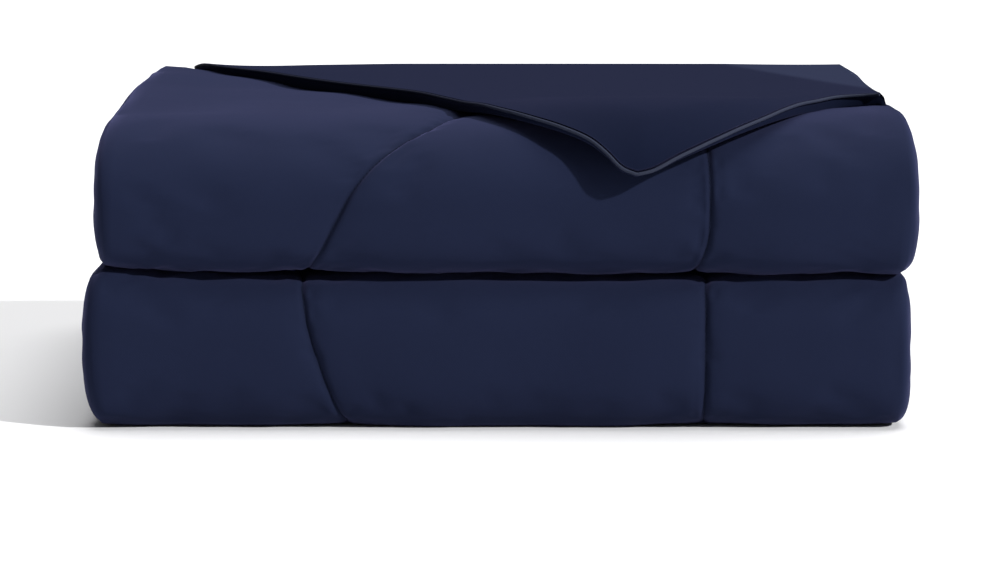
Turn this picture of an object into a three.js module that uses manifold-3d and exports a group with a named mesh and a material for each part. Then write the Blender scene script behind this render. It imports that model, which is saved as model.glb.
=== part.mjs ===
// A queen comforter, quilted and filled, folded in quarters both ways, in millimetres.
// +X is to the right, the two fold bends face -Y, +Z is up, and the origin is on the
// surface it lies on, under the middle. The cloth goes back and forth as one ribbon of
// four plies: in from the back, round the upper front bend, over the top, round the back,
// under the bottom, round the lower front bend and in again. One corner lies loose on top.

import * as THREE from "three";
import { mergeVertices } from "three/addons/utils/BufferGeometryUtils.js";
import Module from "manifold-3d";

// Flat cloth and its folds
const FLAT_SIDE = 2286;
const WIDTH = FLAT_SIDE / 4;
const DEPTH = FLAT_SIDE / 4;
const LOWER_ROLL = 106;
const UPPER_ROLL = 104;
const PLY_GAP = 2.4;
const BACK_PLY = 53;
const END_CLEARANCE = 8;

// Bends of the section
const LOWER_BEND_DEPTH = 46;
const UPPER_BEND_DEPTH = 92;
const UPPER_BEND_MID = 151;
const BACK_BEND_DEPTH = 86;
const FOLD_TIP = 50;
const PLY_END_CORNER = 0.33;
const FRONT_SQUARENESS = 3.6;
const CREST_SQUARENESS = 2.4;
const BACK_SQUARENESS = 2.5;
const ROUND = 2;

// How many steps each part of the section is drawn in
const BOTTOM_STEPS = 5;
const BACK_STEPS = 16;
const TOP_STEPS = 6;
const CREST_STEPS = 8;
const TUCK_STEPS = 6;
const LOWER_STEPS = 12;
const INNER_STEPS = 4;

// Rounded fold ends, left and right
const END_RUN = 14;
const END_INSET = 14;
const END_STATIONS = [0, 1, 3.5, 8, 14];
const END_SAG = 0.4;
const PANEL_SHARES = { left: [0.33, 0.67], middle: [0.25, 0.5, 0.75], right: [0.5] };

// Quilting seams: depth of the channel, and how far its sides reach
const CHANNEL_DEPTH = 3.8;
const CHANNEL_PROFILE = [
  { off: -18, share: 0 },
  { off: -4.5, share: 0.24 },
  { off: 0, share: 1 },
  { off: 4.5, share: 0.24 },
  { off: 18, share: 0 },
];

// Where each seam crosses the upper roll, the top and the back.
// up is the distance along the cloth from the gap between the rolls.
const CURVED_SEAM_UP = [
  { up: 0, x: -138 },
  { up: 37, x: -133 },
  { up: 56, x: -125 },
  { up: 78, x: -114 },
  { up: 91, x: -107 },
  { up: 112, x: -92 },
  { up: 134, x: -74 },
  { up: 163, x: -52 },
  { up: 243, x: -24 },
  { up: 330, x: -2 },
  { up: 560, x: -50 },
  { up: 700, x: -112 },
  { up: 860, x: -132 },
  { up: 1300, x: -104 },
];
const CURVED_SEAM_DOWN = [
  { down: 0, x: -138 },
  { down: 60, x: -131 },
  { down: 95, x: -121 },
  { down: 140, x: -104 },
];
const STRAIGHT_SEAM_UP = [
  { up: 0, x: 131 },
  { up: 37, x: 134 },
  { up: 59, x: 139 },
  { up: 93, x: 140 },
  { up: 160, x: 138 },
  { up: 1300, x: 140 },
];
const STRAIGHT_SEAM_DOWN = [
  { down: 0, x: 141 },
  { down: 20, x: 144 },
  { down: 140, x: 144 },
];

// How the stack has settled. A shoulder drops by ahead in front and by behind at the back.
const UPPER_LEAN = 7;
const LEAN_RUN = 24;
const SHOULDERS = [
  { side: -1, reach: 190, ahead: 0, behind: -11 },
  { side: 1, reach: 110, ahead: -7, behind: -2 },
];
const SHOULDER_POWER = 2.4;
const SHOULDER_RUN = { start: -230, end: 10 };
const HEEL_RUN = 45;
const HEEL_LIFT = 3;
const GAP_TILT_LEFT = 8;
const GAP_TILT_RIGHT = -1;
const GAP_TILT_POWER = 8;
const CROWN = 0.5;
const CORNER_CREASE = { fromX: 168, fromY: 245, toX: 283, toY: -71, slope: 0.02 };

// How far the rolls' ends draw in at their tops and bottoms, fading out at the back
const END_PINCH_RUN = 90;
const LEFT_PINCH = { lower: 5, upper: 1 };
const RIGHT_PINCH = { lower: 0, upper: 3 };
const LOWER_SPREAD = 2;
const CALM_RUN = 180;

// The loose corner on top: its two free edges in the flat of the cloth.
// back is the distance behind the line where the top starts to bend down in front.
const LEFT_EDGE = [
  { x: 89, back: -101 },
  { x: 79, back: -98 },
  { x: 70, back: -91 },
  { x: 58, back: -82 },
  { x: 37, back: -70 },
  { x: 16, back: -56 },
  { x: -4, back: -35 },
  { x: -23, back: 2 },
  { x: -43, back: 48 },
  { x: -64, back: 98 },
  { x: -123, back: 188 },
  { x: -182, back: 290 },
  { x: -232, back: 382 },
  { x: -256, back: 434 },
  { x: -268, back: 458 },
];
const RIGHT_EDGE = [
  { x: 89, back: -101 },
  { x: 100, back: -99 },
  { x: 115, back: -93 },
  { x: 134, back: -85 },
  { x: 153, back: -75 },
  { x: 175, back: -59 },
  { x: 194, back: -38 },
  { x: 216, back: 0 },
  { x: 238, back: 32 },
  { x: 257, back: 34 },
  { x: 275, back: 26 },
];
const FAR_CORNER = { x: 287, back: 462 };
const LEFT_STEPS = [
  0, 0.008, 0.017, 0.03, 0.045, 0.065, 0.09, 0.12, 0.155, 0.2, 0.26, 0.34, 0.44, 0.55, 0.67, 0.77,
  0.85, 0.9, 0.95, 0.965, 0.98, 1,
];
const RIGHT_STEPS = [
  0, 0.02, 0.045, 0.08, 0.13, 0.2, 0.29, 0.39, 0.5, 0.62, 0.74, 0.85, 0.92, 0.975, 0.988, 1,
];

// The loose corner's thickness, its lifted tip, and the root where it joins the stack.
// along is the distance from the tip, along the left or the right edge.
const LEFT_RIM = [
  { along: 0, height: 6 },
  { along: 110, height: 6 },
  { along: 155, height: 7.5 },
  { along: 260, height: 9 },
  { along: 480, height: 9 },
  { along: 590, height: 7.5 },
  { along: 676, height: 5.5 },
];
const RIGHT_RIM = [
  { along: 0, height: 6 },
  { along: 96, height: 6.5 },
  { along: 125, height: 8 },
  { along: 169, height: 9 },
  { along: 207, height: 9.5 },
  { along: 246, height: 10.5 },
];
const CORNER_THICKNESS = 10;
const CORNER_SWELL_RUN = 45;
const FAR_THINNING = { start: 0.7, reach: 0.3, share: 0.45 };
const RIGHT_THINNING = { start: 0.8, reach: 0.35, share: 0.15 };
const TIP_LIFT = 14;
const TIP_LIFT_RUN = 180;
const ROOT_START = { left: 0.96, right: 0.98 };
const ROOT_SINK = 8;
const ROOT_SINK_RATE = 1.6;
const ROOT_STAND = 0.2;

// Edge piping
const PIPING_RADIUS = 1.15;
const PIPING_SEAT = 0.5;
const PIPING_SIDES = 8;
const PIPING_BELOW_FACE = 1.2;
const PIPING_LOWEST = 3;
const PIPING_END = { left: 0.95, right: 0.975 };

// The outer face is measured along a fine path, and its ends' slope over a short span
const FINE_CREST_STEPS = 60;
const FINE_BACK_STEPS = 120;
const SLOPE_SPAN = 0.2;
const WELD_DISTANCE = 0.001;

const TOP = LOWER_ROLL + UPPER_ROLL;
const FRONT = -DEPTH / 2;
const BACK = DEPTH / 2;
const HALF = WIDTH / 2;

const wasm = await Module();
wasm.setup();

// Small helpers
const clamp01 = (value) => Math.min(1, Math.max(0, value));
const smooth = (value) => clamp01(value) ** 2 * (3 - 2 * clamp01(value));
const mix = (from, to, share) => from + (to - from) * share;
const rounded = (value, power) => Math.sign(value) * Math.abs(value) ** power;

// A value of x read off a table by a smooth curve through its rows.
function lookUp(table, key, at) {
  const next = table.findIndex((row) => row[key] >= at);
  if (next === 0) return table[0].x;
  if (next < 0) return table.at(-1).x;
  const slopeAt = (i) => {
    const before = table[Math.max(0, i - 1)];
    const after = table[Math.min(table.length - 1, i + 1)];
    return (after.x - before.x) / (after[key] - before[key]);
  };
  const low = table[next - 1];
  const high = table[next];
  const length = high[key] - low[key];
  const share = (at - low[key]) / length;
  const bowed = share * (1 - share) * length;
  const lean = (1 - share) * (slopeAt(next - 1) - (high.x - low.x) / length);
  const leanBack = share * ((high.x - low.x) / length - slopeAt(next));
  return mix(low.x, high.x, share) + bowed * (lean + leanBack);
}

// Part of a squared-off ellipse, anticlockwise from one angle to another in degrees.
function bend({ y, z, deep, high, from, to, steps, square }) {
  return Array.from({ length: steps + 1 }, (_, i) => {
    const angle = THREE.MathUtils.degToRad(mix(from, to, i / steps));
    return {
      y: y + deep * rounded(Math.cos(angle), 2 / square),
      z: z + high * rounded(Math.sin(angle), 2 / square),
    };
  });
}

// Evenly spaced points from one place up to, but not including, another.
function run(from, to, steps) {
  return Array.from({ length: steps }, (_, i) => ({
    y: mix(from.y, to.y, i / steps),
    z: mix(from.z, to.z, i / steps),
  }));
}

// The outer bends, named so that the section and the loose corner share them
const upperCrest = (steps) =>
  bend({
    y: FRONT + UPPER_BEND_DEPTH,
    z: UPPER_BEND_MID,
    deep: UPPER_BEND_DEPTH,
    high: TOP - UPPER_BEND_MID,
    from: 90,
    to: 180,
    steps,
    square: CREST_SQUARENESS,
  });
const upperTuck = (steps) =>
  bend({
    y: FRONT + LOWER_BEND_DEPTH,
    z: UPPER_BEND_MID,
    deep: LOWER_BEND_DEPTH,
    high: UPPER_BEND_MID - LOWER_ROLL - PLY_GAP / 2,
    from: 180,
    to: 270,
    steps,
    square: FRONT_SQUARENESS,
  });
const lowerFront = (steps) =>
  bend({
    y: FRONT + LOWER_BEND_DEPTH,
    z: (LOWER_ROLL - PLY_GAP / 2) / 2,
    deep: LOWER_BEND_DEPTH,
    high: (LOWER_ROLL - PLY_GAP / 2) / 2,
    from: 90,
    to: 270,
    steps,
    square: FRONT_SQUARENESS,
  });
const backBend = (steps) =>
  bend({
    y: BACK - BACK_BEND_DEPTH,
    z: TOP / 2,
    deep: BACK_BEND_DEPTH,
    high: TOP / 2,
    from: -90,
    to: 90,
    steps,
    square: BACK_SQUARENESS,
  });

// The rounded front end of the space between two plies.
function foldTip(height) {
  return bend({
    y: FRONT + FOLD_TIP,
    z: height,
    deep: PLY_GAP / 2,
    high: PLY_GAP / 2,
    from: 270,
    to: 90,
    steps: INNER_STEPS,
    square: ROUND,
  });
}

// A quarter of the curve inside the back bend.
function innerBack(high, from, to) {
  return bend({
    y: BACK - BACK_BEND_DEPTH,
    z: LOWER_ROLL,
    deep: BACK_BEND_DEPTH - BACK_PLY,
    high,
    from,
    to,
    steps: INNER_STEPS,
    square: BACK_SQUARENESS,
  });
}

// The closed section of the ribbon of plies, anticlockwise seen from +X.
// outer is true on the faces that show, where the quilting is.
function section() {
  const half = PLY_GAP / 2;
  const upperSplit = LOWER_ROLL + UPPER_ROLL / 2;
  const lowerSplit = LOWER_ROLL / 2;
  const front = FRONT + LOWER_BEND_DEPTH;
  const crestEnd = FRONT + UPPER_BEND_DEPTH;
  const backStart = BACK - BACK_BEND_DEPTH;
  const middle = (FRONT + BACK) / 2;
  const plyEnd = BACK - BACK_PLY - END_CLEARANCE;
  const outside = [
    ...run({ y: front, z: 0 }, { y: backStart, z: 0 }, BOTTOM_STEPS),
    ...backBend(BACK_STEPS),
    ...run({ y: backStart, z: TOP }, { y: crestEnd, z: TOP }, TOP_STEPS).slice(1),
    ...upperCrest(CREST_STEPS),
    ...upperTuck(TUCK_STEPS).slice(1),
  ];
  const inside = [
    { y: middle, z: LOWER_ROLL + half },
    { y: plyEnd, z: LOWER_ROLL + half },
    { y: plyEnd, z: LOWER_ROLL + UPPER_ROLL * PLY_END_CORNER },
    { y: backStart, z: upperSplit - half },
    { y: middle, z: upperSplit - half },
    ...foldTip(upperSplit),
    { y: middle, z: upperSplit + half },
    ...innerBack(UPPER_ROLL / 2 + half, 90, 0),
    ...innerBack(LOWER_ROLL / 2 + half, 0, -90).slice(1),
    { y: middle, z: lowerSplit - half },
    ...foldTip(lowerSplit),
    { y: middle, z: lowerSplit + half },
    { y: backStart, z: lowerSplit + half },
    { y: plyEnd, z: LOWER_ROLL * (1 - PLY_END_CORNER) },
    { y: plyEnd, z: LOWER_ROLL - half },
    { y: middle, z: LOWER_ROLL - half },
  ];
  const lower = lowerFront(LOWER_STEPS).slice(0, -1);
  return [
    ...outside.map((at) => ({ ...at, outer: true })),
    ...inside.map((at) => ({ ...at, outer: false })),
    ...lower.map((at) => ({ ...at, outer: true, lower: true })),
  ];
}

// Adds to each section point its outward direction and where the seams cross it.
function dressSection(points) {
  const count = points.length;
  const gapRow = points.findIndex((at) => !at.outer) - 1;
  let along = 0;
  const upFrom = new Array(count).fill(0);
  for (let i = gapRow - 1; i >= 0; i -= 1) {
    along += Math.hypot(points[i].y - points[i + 1].y, points[i].z - points[i + 1].z);
    upFrom[i] = along;
  }
  let below = 0;
  return points.map((at, i) => {
    const before = points[(i + count - 1) % count];
    const after = points[(i + 1) % count];
    const first = outward(before, at);
    const second = outward(at, after);
    const miter = 1 + first.y * second.y + first.z * second.z;
    if (at.lower) below += before.lower ? Math.hypot(at.y - before.y, at.z - before.z) : 0;
    return {
      ...at,
      ny: (first.y + second.y) / miter,
      nz: (first.z + second.z) / miter,
      curved: at.lower
        ? lookUp(CURVED_SEAM_DOWN, "down", below)
        : lookUp(CURVED_SEAM_UP, "up", upFrom[i]),
      straight: at.lower
        ? lookUp(STRAIGHT_SEAM_DOWN, "down", below)
        : lookUp(STRAIGHT_SEAM_UP, "up", upFrom[i]),
    };
  });
}

// The outward direction of a stretch of an anticlockwise outline.
function outward(from, to) {
  const length = Math.hypot(to.y - from.y, to.z - from.z);
  return { y: (to.z - from.z) / length, z: -(to.y - from.y) / length };
}

// How far the faces have rounded inwards, this far from the left or right end.
function endInset(fromEnd) {
  const share = clamp01(1 - fromEnd / END_RUN);
  return END_INSET * (1 - Math.sqrt(1 - share ** 2));
}

// How far an end draws in towards the top and the bottom of its roll.
function drawnIn({ x, z }) {
  const upper = z > LOWER_ROLL;
  const reach = (upper ? UPPER_ROLL : LOWER_ROLL) / 2;
  const middle = upper ? LOWER_ROLL + reach : reach;
  const offMiddle = clamp01(Math.abs(z - middle) / reach) ** 2;
  const nearEnd = clamp01((Math.abs(x) - (HALF - END_PINCH_RUN)) / END_PINCH_RUN) ** 2;
  const roll = upper ? "upper" : "lower";
  const pinch = (x < 0 ? LEFT_PINCH : RIGHT_PINCH)[roll] * offMiddle;
  return Math.sign(x) * (pinch - (upper ? 0 : LOWER_SPREAD)) * nearEnd;
}

// How far the upper roll's shoulders, and the part behind the turned corner, have dropped.
function dropOf({ x, y }) {
  const backShare = smooth((y - SHOULDER_RUN.start) / (SHOULDER_RUN.end - SHOULDER_RUN.start));
  let drop = 0;
  for (const { side, reach, ahead, behind } of SHOULDERS) {
    const outwards = clamp01((side * x - (HALF - reach)) / reach) ** SHOULDER_POWER;
    drop += mix(ahead, behind, backShare) * outwards;
  }
  const { fromX, fromY, toX, toY, slope } = CORNER_CREASE;
  const across = (y - fromY) * (toX - fromX) - (x - fromX) * (toY - fromY);
  return drop + slope * Math.max(0, across / Math.hypot(toX - fromX, toY - fromY));
}

// How the whole stack has settled: the rolls lean, the shoulders drop, the gap tilts.
function settle({ x, y, z }) {
  const high = clamp01((z - LOWER_ROLL) / UPPER_ROLL);
  const tiltShare = z < LOWER_ROLL ? clamp01(z / LOWER_ROLL) : 1 - high;
  const mostTilt = x < 0 ? GAP_TILT_LEFT : GAP_TILT_RIGHT;
  const tilt = mostTilt * clamp01(Math.abs(x) / HALF) ** GAP_TILT_POWER;
  const calm = smooth(y / CALM_RUN);
  const leanShare = mix(smooth((z - LOWER_ROLL) / LEAN_RUN + 0.5), clamp01(z / TOP), calm);
  const lean = UPPER_LEAN * (leanShare - 0.5);
  const crown = CROWN * clamp01(1 - (x / HALF) ** 2) * clamp01(1 - (y / BACK) ** 2);
  const heelShare = clamp01((Math.abs(x) - (HALF - HEEL_RUN)) / HEEL_RUN) ** 2;
  const heel = HEEL_LIFT * heelShare * (1 - clamp01(z / LOWER_ROLL)) ** 2;
  const rise = tilt * tiltShare + (crown - dropOf({ x, y })) * high + heel;
  return new THREE.Vector3(x + lean - drawnIn({ x, z }) * (1 - calm), y, z + rise);
}

// A closed geometry from points and triangles.
function geometryOf(points, triangles) {
  const geometry = new THREE.BufferGeometry();
  const places = points.flatMap((at) => [at.x, at.y, at.z]);
  geometry.setAttribute("position", new THREE.Float32BufferAttribute(places, 3));
  geometry.setIndex(triangles.flat());
  return geometry;
}

// The two triangles of a grid cell, given its corners in turn.
const cell = (a, b, c, d) => [
  [a, b, c],
  [a, c, d],
];

// The stations across the cloth for one section point: ends, seams and the panels between.
function stationsAcross(row) {
  const left = END_STATIONS.map((fromEnd) => ({ x: -HALF + fromEnd, share: 0 }));
  const right = END_STATIONS.map((fromEnd) => ({ x: HALF - fromEnd, share: 0 })).reverse();
  const seams = [row.curved, row.straight].map((seam) =>
    CHANNEL_PROFILE.map(({ off, share }) => ({ x: seam + off, share })),
  );
  const between = (from, to, shares) =>
    shares.map((at) => ({ x: mix(from.x, to.x, at), share: 0 }));
  return [
    ...left,
    ...between(left.at(-1), seams[0][0], PANEL_SHARES.left),
    ...seams[0],
    ...between(seams[0].at(-1), seams[1][0], PANEL_SHARES.middle),
    ...seams[1],
    ...between(seams[1].at(-1), right[0], PANEL_SHARES.right),
    ...right,
  ];
}

// A section point as the end face is divided by: straight stretches sag inwards a little,
// so that every point on them is a corner of some triangle.
function endOutline(row) {
  const sag = END_SAG * (2 - (row.y / BACK) ** 2 - (row.z / (TOP / 2) - 1) ** 2);
  const inset = END_INSET + sag;
  return new THREE.Vector2(row.y - row.ny * inset, row.z - row.nz * inset);
}

// The folded stack as one ribbon, with its rounded ends and its quilting channels.
function foldedStack() {
  const rows = dressSection(section());
  const grid = rows.map((row) =>
    stationsAcross(row).map(({ x, share }) => {
      const inset = endInset(HALF - Math.abs(x)) + (row.outer ? CHANNEL_DEPTH * share : 0);
      return settle({ x, y: row.y - row.ny * inset, z: row.z - row.nz * inset });
    }),
  );
  const across = grid[0].length;
  const at = (row, station) => (row % rows.length) * across + station;
  const triangles = [];
  for (let row = 0; row < rows.length; row += 1) {
    for (let station = 0; station < across - 1; station += 1) {
      const [near, far] = [at(row, station), at(row + 1, station)];
      triangles.push(...cell(near, far, far + 1, near + 1));
    }
  }
  const ends = [
    { station: 0, flip: true },
    { station: across - 1, flip: false },
  ];
  for (const { station, flip } of ends) {
    for (const corners of THREE.ShapeUtils.triangulateShape(rows.map(endOutline), [])) {
      const turned = flip ? corners.toReversed() : corners;
      triangles.push(turned.map((row) => at(row, station)));
    }
  }
  return geometryOf(grid.flat(), triangles);
}

// The outer face from the upper roll's front, over the top, to the bottom of the back,
// as distances along the cloth from where the top starts to bend down in front.
const FACE = (() => {
  const path = [...upperCrest(FINE_CREST_STEPS).reverse(), ...backBend(FINE_BACK_STEPS).reverse()];
  const along = [0];
  for (let i = 1; i < path.length; i += 1) {
    along.push(along[i - 1] + Math.hypot(path[i].y - path[i - 1].y, path[i].z - path[i - 1].z));
  }
  const start = along[FINE_CREST_STEPS];
  return { path, along: along.map((length) => length - start) };
})();

// The point and outward direction of the outer face, this far back along it.
function faceAt(back) {
  const { path, along } = FACE;
  let next = along.findIndex((length) => length >= back);
  if (next <= 0) next = next < 0 ? path.length - 1 : 1;
  const low = path[next - 1];
  const high = path[next];
  const share = (back - along[next - 1]) / (along[next] - along[next - 1]);
  const normal = outward(high, low);
  return { y: mix(low.y, high.y, share), z: mix(low.z, high.z, share), ny: normal.y, nz: normal.z };
}

// A point at a height over the outer face, at flat places x and back.
function overFace(x, back, height) {
  const face = faceAt(back);
  const fromEnd = HALF - Math.abs(x);
  const half = SLOPE_SPAN / 2;
  const slope = (endInset(fromEnd - half) - endInset(fromEnd + half)) / SLOPE_SPAN;
  const stretch = Math.hypot(1, slope);
  const out = height / stretch - endInset(fromEnd);
  return {
    x: x + (Math.sign(x) * slope * height) / stretch,
    y: face.y + face.ny * out,
    z: face.z + face.nz * out,
  };
}

// A smooth curve through rows of x and back, in the flat of the cloth.
function flatCurve(rows) {
  const points = rows.map((row) => new THREE.Vector3(row.x, row.back, 0));
  return new THREE.CatmullRomCurve3(points, false, "centripetal");
}
const leftEdge = flatCurve(LEFT_EDGE);
const rightEdge = flatCurve(RIGHT_EDGE);
const leftLength = leftEdge.getLength();
const rightLength = rightEdge.getLength();
const rimRows = (rows) => rows.map(({ along, height }) => ({ along, x: height }));
const leftRim = rimRows(LEFT_RIM);
const rightRim = rimRows(RIGHT_RIM);

// The flat place in the loose corner at shares p along its left and q along its right edge.
function cornerPlace(p, q) {
  const left = leftEdge.getPointAt(p);
  const right = rightEdge.getPointAt(q);
  const tip = LEFT_EDGE[0];
  const farLeft = LEFT_EDGE.at(-1);
  const farRight = RIGHT_EDGE.at(-1);
  const blend = (key, leftValue, rightValue) =>
    mix(leftValue, mix(farRight[key], FAR_CORNER[key], p), q) +
    mix(rightValue, mix(farLeft[key], FAR_CORNER[key], q), p) -
    mix(mix(tip[key], farRight[key], q), mix(farLeft[key], FAR_CORNER[key], q), p);
  return { x: blend("x", left.x, right.x), back: blend("back", left.y, right.y) };
}

// How much of its thickness the loose corner keeps where it thins out along an edge.
function kept(along, across, { start, reach, share }) {
  return 1 - share * smooth((along - start) / (1 - start)) * (1 - smooth(across / reach));
}

// How far the loose corner's under and upper faces stand over the stack.
function cornerHeights(p, q) {
  const fromEdge = Math.min(p * leftLength, q * rightLength);
  const fromTip = Math.hypot(p * leftLength, q * rightLength);
  const leftRoot = smooth((p - ROOT_START.left) / (1 - ROOT_START.left));
  const rightRoot = smooth((q - ROOT_START.right) / (1 - ROOT_START.right));
  const root = Math.max(leftRoot, rightRoot);
  const lift = TIP_LIFT * (1 - smooth(fromTip / TIP_LIFT_RUN));
  const alongLeft = p * leftLength;
  const alongRight = q * rightLength;
  const rim =
    alongLeft > alongRight
      ? lookUp(leftRim, "along", alongLeft)
      : lookUp(rightRim, "along", alongRight);
  const full = mix(rim, CORNER_THICKNESS, smooth(fromEdge / CORNER_SWELL_RUN));
  const thick = full * kept(p, q, FAR_THINNING) * kept(q, p, RIGHT_THINNING);
  return {
    under: mix(PLY_GAP + lift, -ROOT_SINK, smooth(root * ROOT_SINK_RATE)),
    upper: mix(PLY_GAP + lift + thick, ROOT_STAND, root),
  };
}

// The loose corner: a padded sheet on the stack, sunk into it along its root.
function looseCorner() {
  const points = [];
  const index = { under: [], upper: [] };
  for (const face of ["under", "upper"]) {
    for (const p of LEFT_STEPS) {
      index[face].push(
        RIGHT_STEPS.map((q) => {
          const { x, back } = cornerPlace(p, q);
          points.push(settle(overFace(x, back, cornerHeights(p, q)[face])));
          return points.length - 1;
        }),
      );
    }
  }
  const { under, upper } = index;
  const rows = LEFT_STEPS.length - 1;
  const columns = RIGHT_STEPS.length - 1;
  const triangles = [];
  for (let i = 0; i < rows; i += 1) {
    for (let j = 0; j < columns; j += 1) {
      triangles.push(...cell(upper[i][j], upper[i][j + 1], upper[i + 1][j + 1], upper[i + 1][j]));
      triangles.push(...cell(under[i][j], under[i + 1][j], under[i + 1][j + 1], under[i][j + 1]));
    }
  }
  const rim = [
    ...Array.from({ length: columns }, (_, j) => [0, j]),
    ...Array.from({ length: rows }, (_, i) => [i, columns]),
    ...Array.from({ length: columns }, (_, j) => [rows, columns - j]),
    ...Array.from({ length: rows }, (_, i) => [rows - i, 0]),
  ];
  rim.forEach(([i, j], k) => {
    const [nextI, nextJ] = rim[(k + 1) % rim.length];
    triangles.push(...cell(under[i][j], under[nextI][nextJ], upper[nextI][nextJ], upper[i][j]));
  });
  return geometryOf(points, triangles);
}

// The piping's centre line, from near the far left to the tip and to the right.
function pipingPath() {
  const left = LEFT_STEPS.filter((p) => p <= PIPING_END.left).reverse();
  const right = RIGHT_STEPS.filter((q) => q <= PIPING_END.right).slice(1);
  const edge = [...left.map((p) => ({ p, q: 0 })), ...right.map((q) => ({ p: 0, q }))].map(
    ({ p, q }) => ({ ...cornerPlace(p, q), height: cornerHeights(p, q).upper - PIPING_BELOW_FACE }),
  );
  return edge.map((at, i) => {
    const before = edge[Math.max(0, i - 1)];
    const after = edge[Math.min(edge.length - 1, i + 1)];
    const length = Math.hypot(after.x - before.x, after.back - before.back);
    const out = PIPING_RADIUS + PIPING_SEAT;
    const x = at.x + (out * (after.back - before.back)) / length;
    const back = at.back - (out * (after.x - before.x)) / length;
    return settle(overFace(x, back, Math.max(PIPING_LOWEST, at.height)));
  });
}

// A closed tube along a centre line.
function tube(centres, radius, sides) {
  const points = [];
  let normal = new THREE.Vector3(0, 0, 1);
  centres.forEach((centre, i) => {
    const before = centres[Math.max(0, i - 1)];
    const after = centres[Math.min(centres.length - 1, i + 1)];
    const along = after.clone().sub(before).normalize();
    normal = normal.clone().addScaledVector(along, -normal.dot(along)).normalize();
    const aside = along.clone().cross(normal);
    for (let side = 0; side < sides; side += 1) {
      const angle = (2 * Math.PI * side) / sides;
      points.push(
        centre
          .clone()
          .addScaledVector(normal, radius * Math.cos(angle))
          .addScaledVector(aside, radius * Math.sin(angle)),
      );
    }
  });
  const at = (ring, side) => ring * sides + (side % sides);
  const triangles = [];
  for (let ring = 0; ring < centres.length - 1; ring += 1) {
    for (let side = 0; side < sides; side += 1) {
      const next = side + 1;
      triangles.push(...cell(at(ring, side), at(ring, next), at(ring + 1, next), at(ring + 1, side)));
    }
  }
  const end = centres.length - 1;
  for (let side = 1; side < sides - 1; side += 1) {
    triangles.push([at(0, 0), at(0, side + 1), at(0, side)]);
    triangles.push([at(end, 0), at(end, side), at(end, side + 1)]);
  }
  return geometryOf(points, triangles);
}

// A geometry as a solid that can be joined, and back again.
function solidOf(geometry) {
  const merged = mergeVertices(geometry, WELD_DISTANCE);
  return new wasm.Manifold(
    new wasm.Mesh({
      numProp: 3,
      vertProperties: merged.attributes.position.array,
      triVerts: new Uint32Array(merged.index.array),
    }),
  );
}
function geometryFrom(solid) {
  const mesh = solid.getMesh();
  const geometry = new THREE.BufferGeometry();
  geometry.setAttribute("position", new THREE.BufferAttribute(mesh.vertProperties, 3));
  geometry.setIndex(new THREE.BufferAttribute(mesh.triVerts, 1));
  geometry.computeVertexNormals();
  return geometry;
}

const navyCloth = new THREE.MeshStandardMaterial({ color: 0x22273e, roughness: 0.7, metalness: 0 });
const pipingCloth = new THREE.MeshStandardMaterial({ color: 0x3a4462, roughness: 0.5, metalness: 0 });

const oneCloth = solidOf(foldedStack()).add(solidOf(looseCorner()));
const comforter = new THREE.Mesh(geometryFrom(oneCloth), navyCloth);
comforter.name = "comforter";

const pipingGeometry = tube(pipingPath(), PIPING_RADIUS, PIPING_SIDES);
pipingGeometry.computeVertexNormals();
const piping = new THREE.Mesh(pipingGeometry, pipingCloth);
piping.name = "edge_piping";

const foldedComforter = new THREE.Group();
foldedComforter.add(comforter, piping);

// The origin goes under the middle of the whole part, on the surface that it lies on.
const middleOfAll = new THREE.Box3().setFromObject(foldedComforter).getCenter(new THREE.Vector3());
foldedComforter.position.set(-middleOfAll.x, -middleOfAll.y, 0);

export default foldedComforter;
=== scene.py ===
"""A folded, quilted comforter with one piped corner turned loose on top.

The shapes repeat the solids' fold section at a finer pitch, in millimetres, and are
turned into metres as each mesh is made. +X is to the right, the fold bends face -Y.
"""

from __future__ import annotations

import logging
import math
from dataclasses import dataclass
from enum import Enum

import bpy
import numpy as np
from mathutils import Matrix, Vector

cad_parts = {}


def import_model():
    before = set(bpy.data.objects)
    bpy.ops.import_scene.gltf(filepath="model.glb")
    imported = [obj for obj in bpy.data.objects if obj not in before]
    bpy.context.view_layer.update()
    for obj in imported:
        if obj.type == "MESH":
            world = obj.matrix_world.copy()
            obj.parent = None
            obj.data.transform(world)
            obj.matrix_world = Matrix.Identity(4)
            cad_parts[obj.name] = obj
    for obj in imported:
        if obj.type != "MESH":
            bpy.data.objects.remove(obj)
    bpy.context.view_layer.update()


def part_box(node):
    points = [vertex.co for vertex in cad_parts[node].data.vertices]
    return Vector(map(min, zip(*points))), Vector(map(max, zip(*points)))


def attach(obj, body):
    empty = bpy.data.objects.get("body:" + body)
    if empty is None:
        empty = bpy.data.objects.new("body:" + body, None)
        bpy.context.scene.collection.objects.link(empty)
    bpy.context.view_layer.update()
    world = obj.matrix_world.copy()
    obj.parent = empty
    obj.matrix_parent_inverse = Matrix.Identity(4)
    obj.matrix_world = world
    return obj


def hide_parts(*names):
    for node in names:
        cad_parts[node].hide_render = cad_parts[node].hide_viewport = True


LOG = logging.getLogger("comforter")
MM = 0.001
TINY = 1e-9
WAVE_SHORTEST = 0.65
WAVE_SPREAD = 0.7
ALL_BUT_LAST = slice(None, -1)
ALL_BUT_FIRST = slice(1, None)

Array = np.ndarray
Faces = list[list[int]]
Rows = tuple[tuple[float, ...], ...]
Pair = tuple[float, float]
Triple = tuple[float, float, float]


class Node(str, Enum):
    """The CAD nodes that the dressed pieces stand for."""

    COMFORTER = "comforter"
    PIPING = "edge_piping"


class Slot(str, Enum):
    """The record's material slots."""

    NAVY = "navy_cloth"
    PIPING = "piping_cloth"


class Side(Enum):
    """The two ends of the folded stack."""

    LEFT = -1
    RIGHT = 1


# Small number helpers


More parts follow.
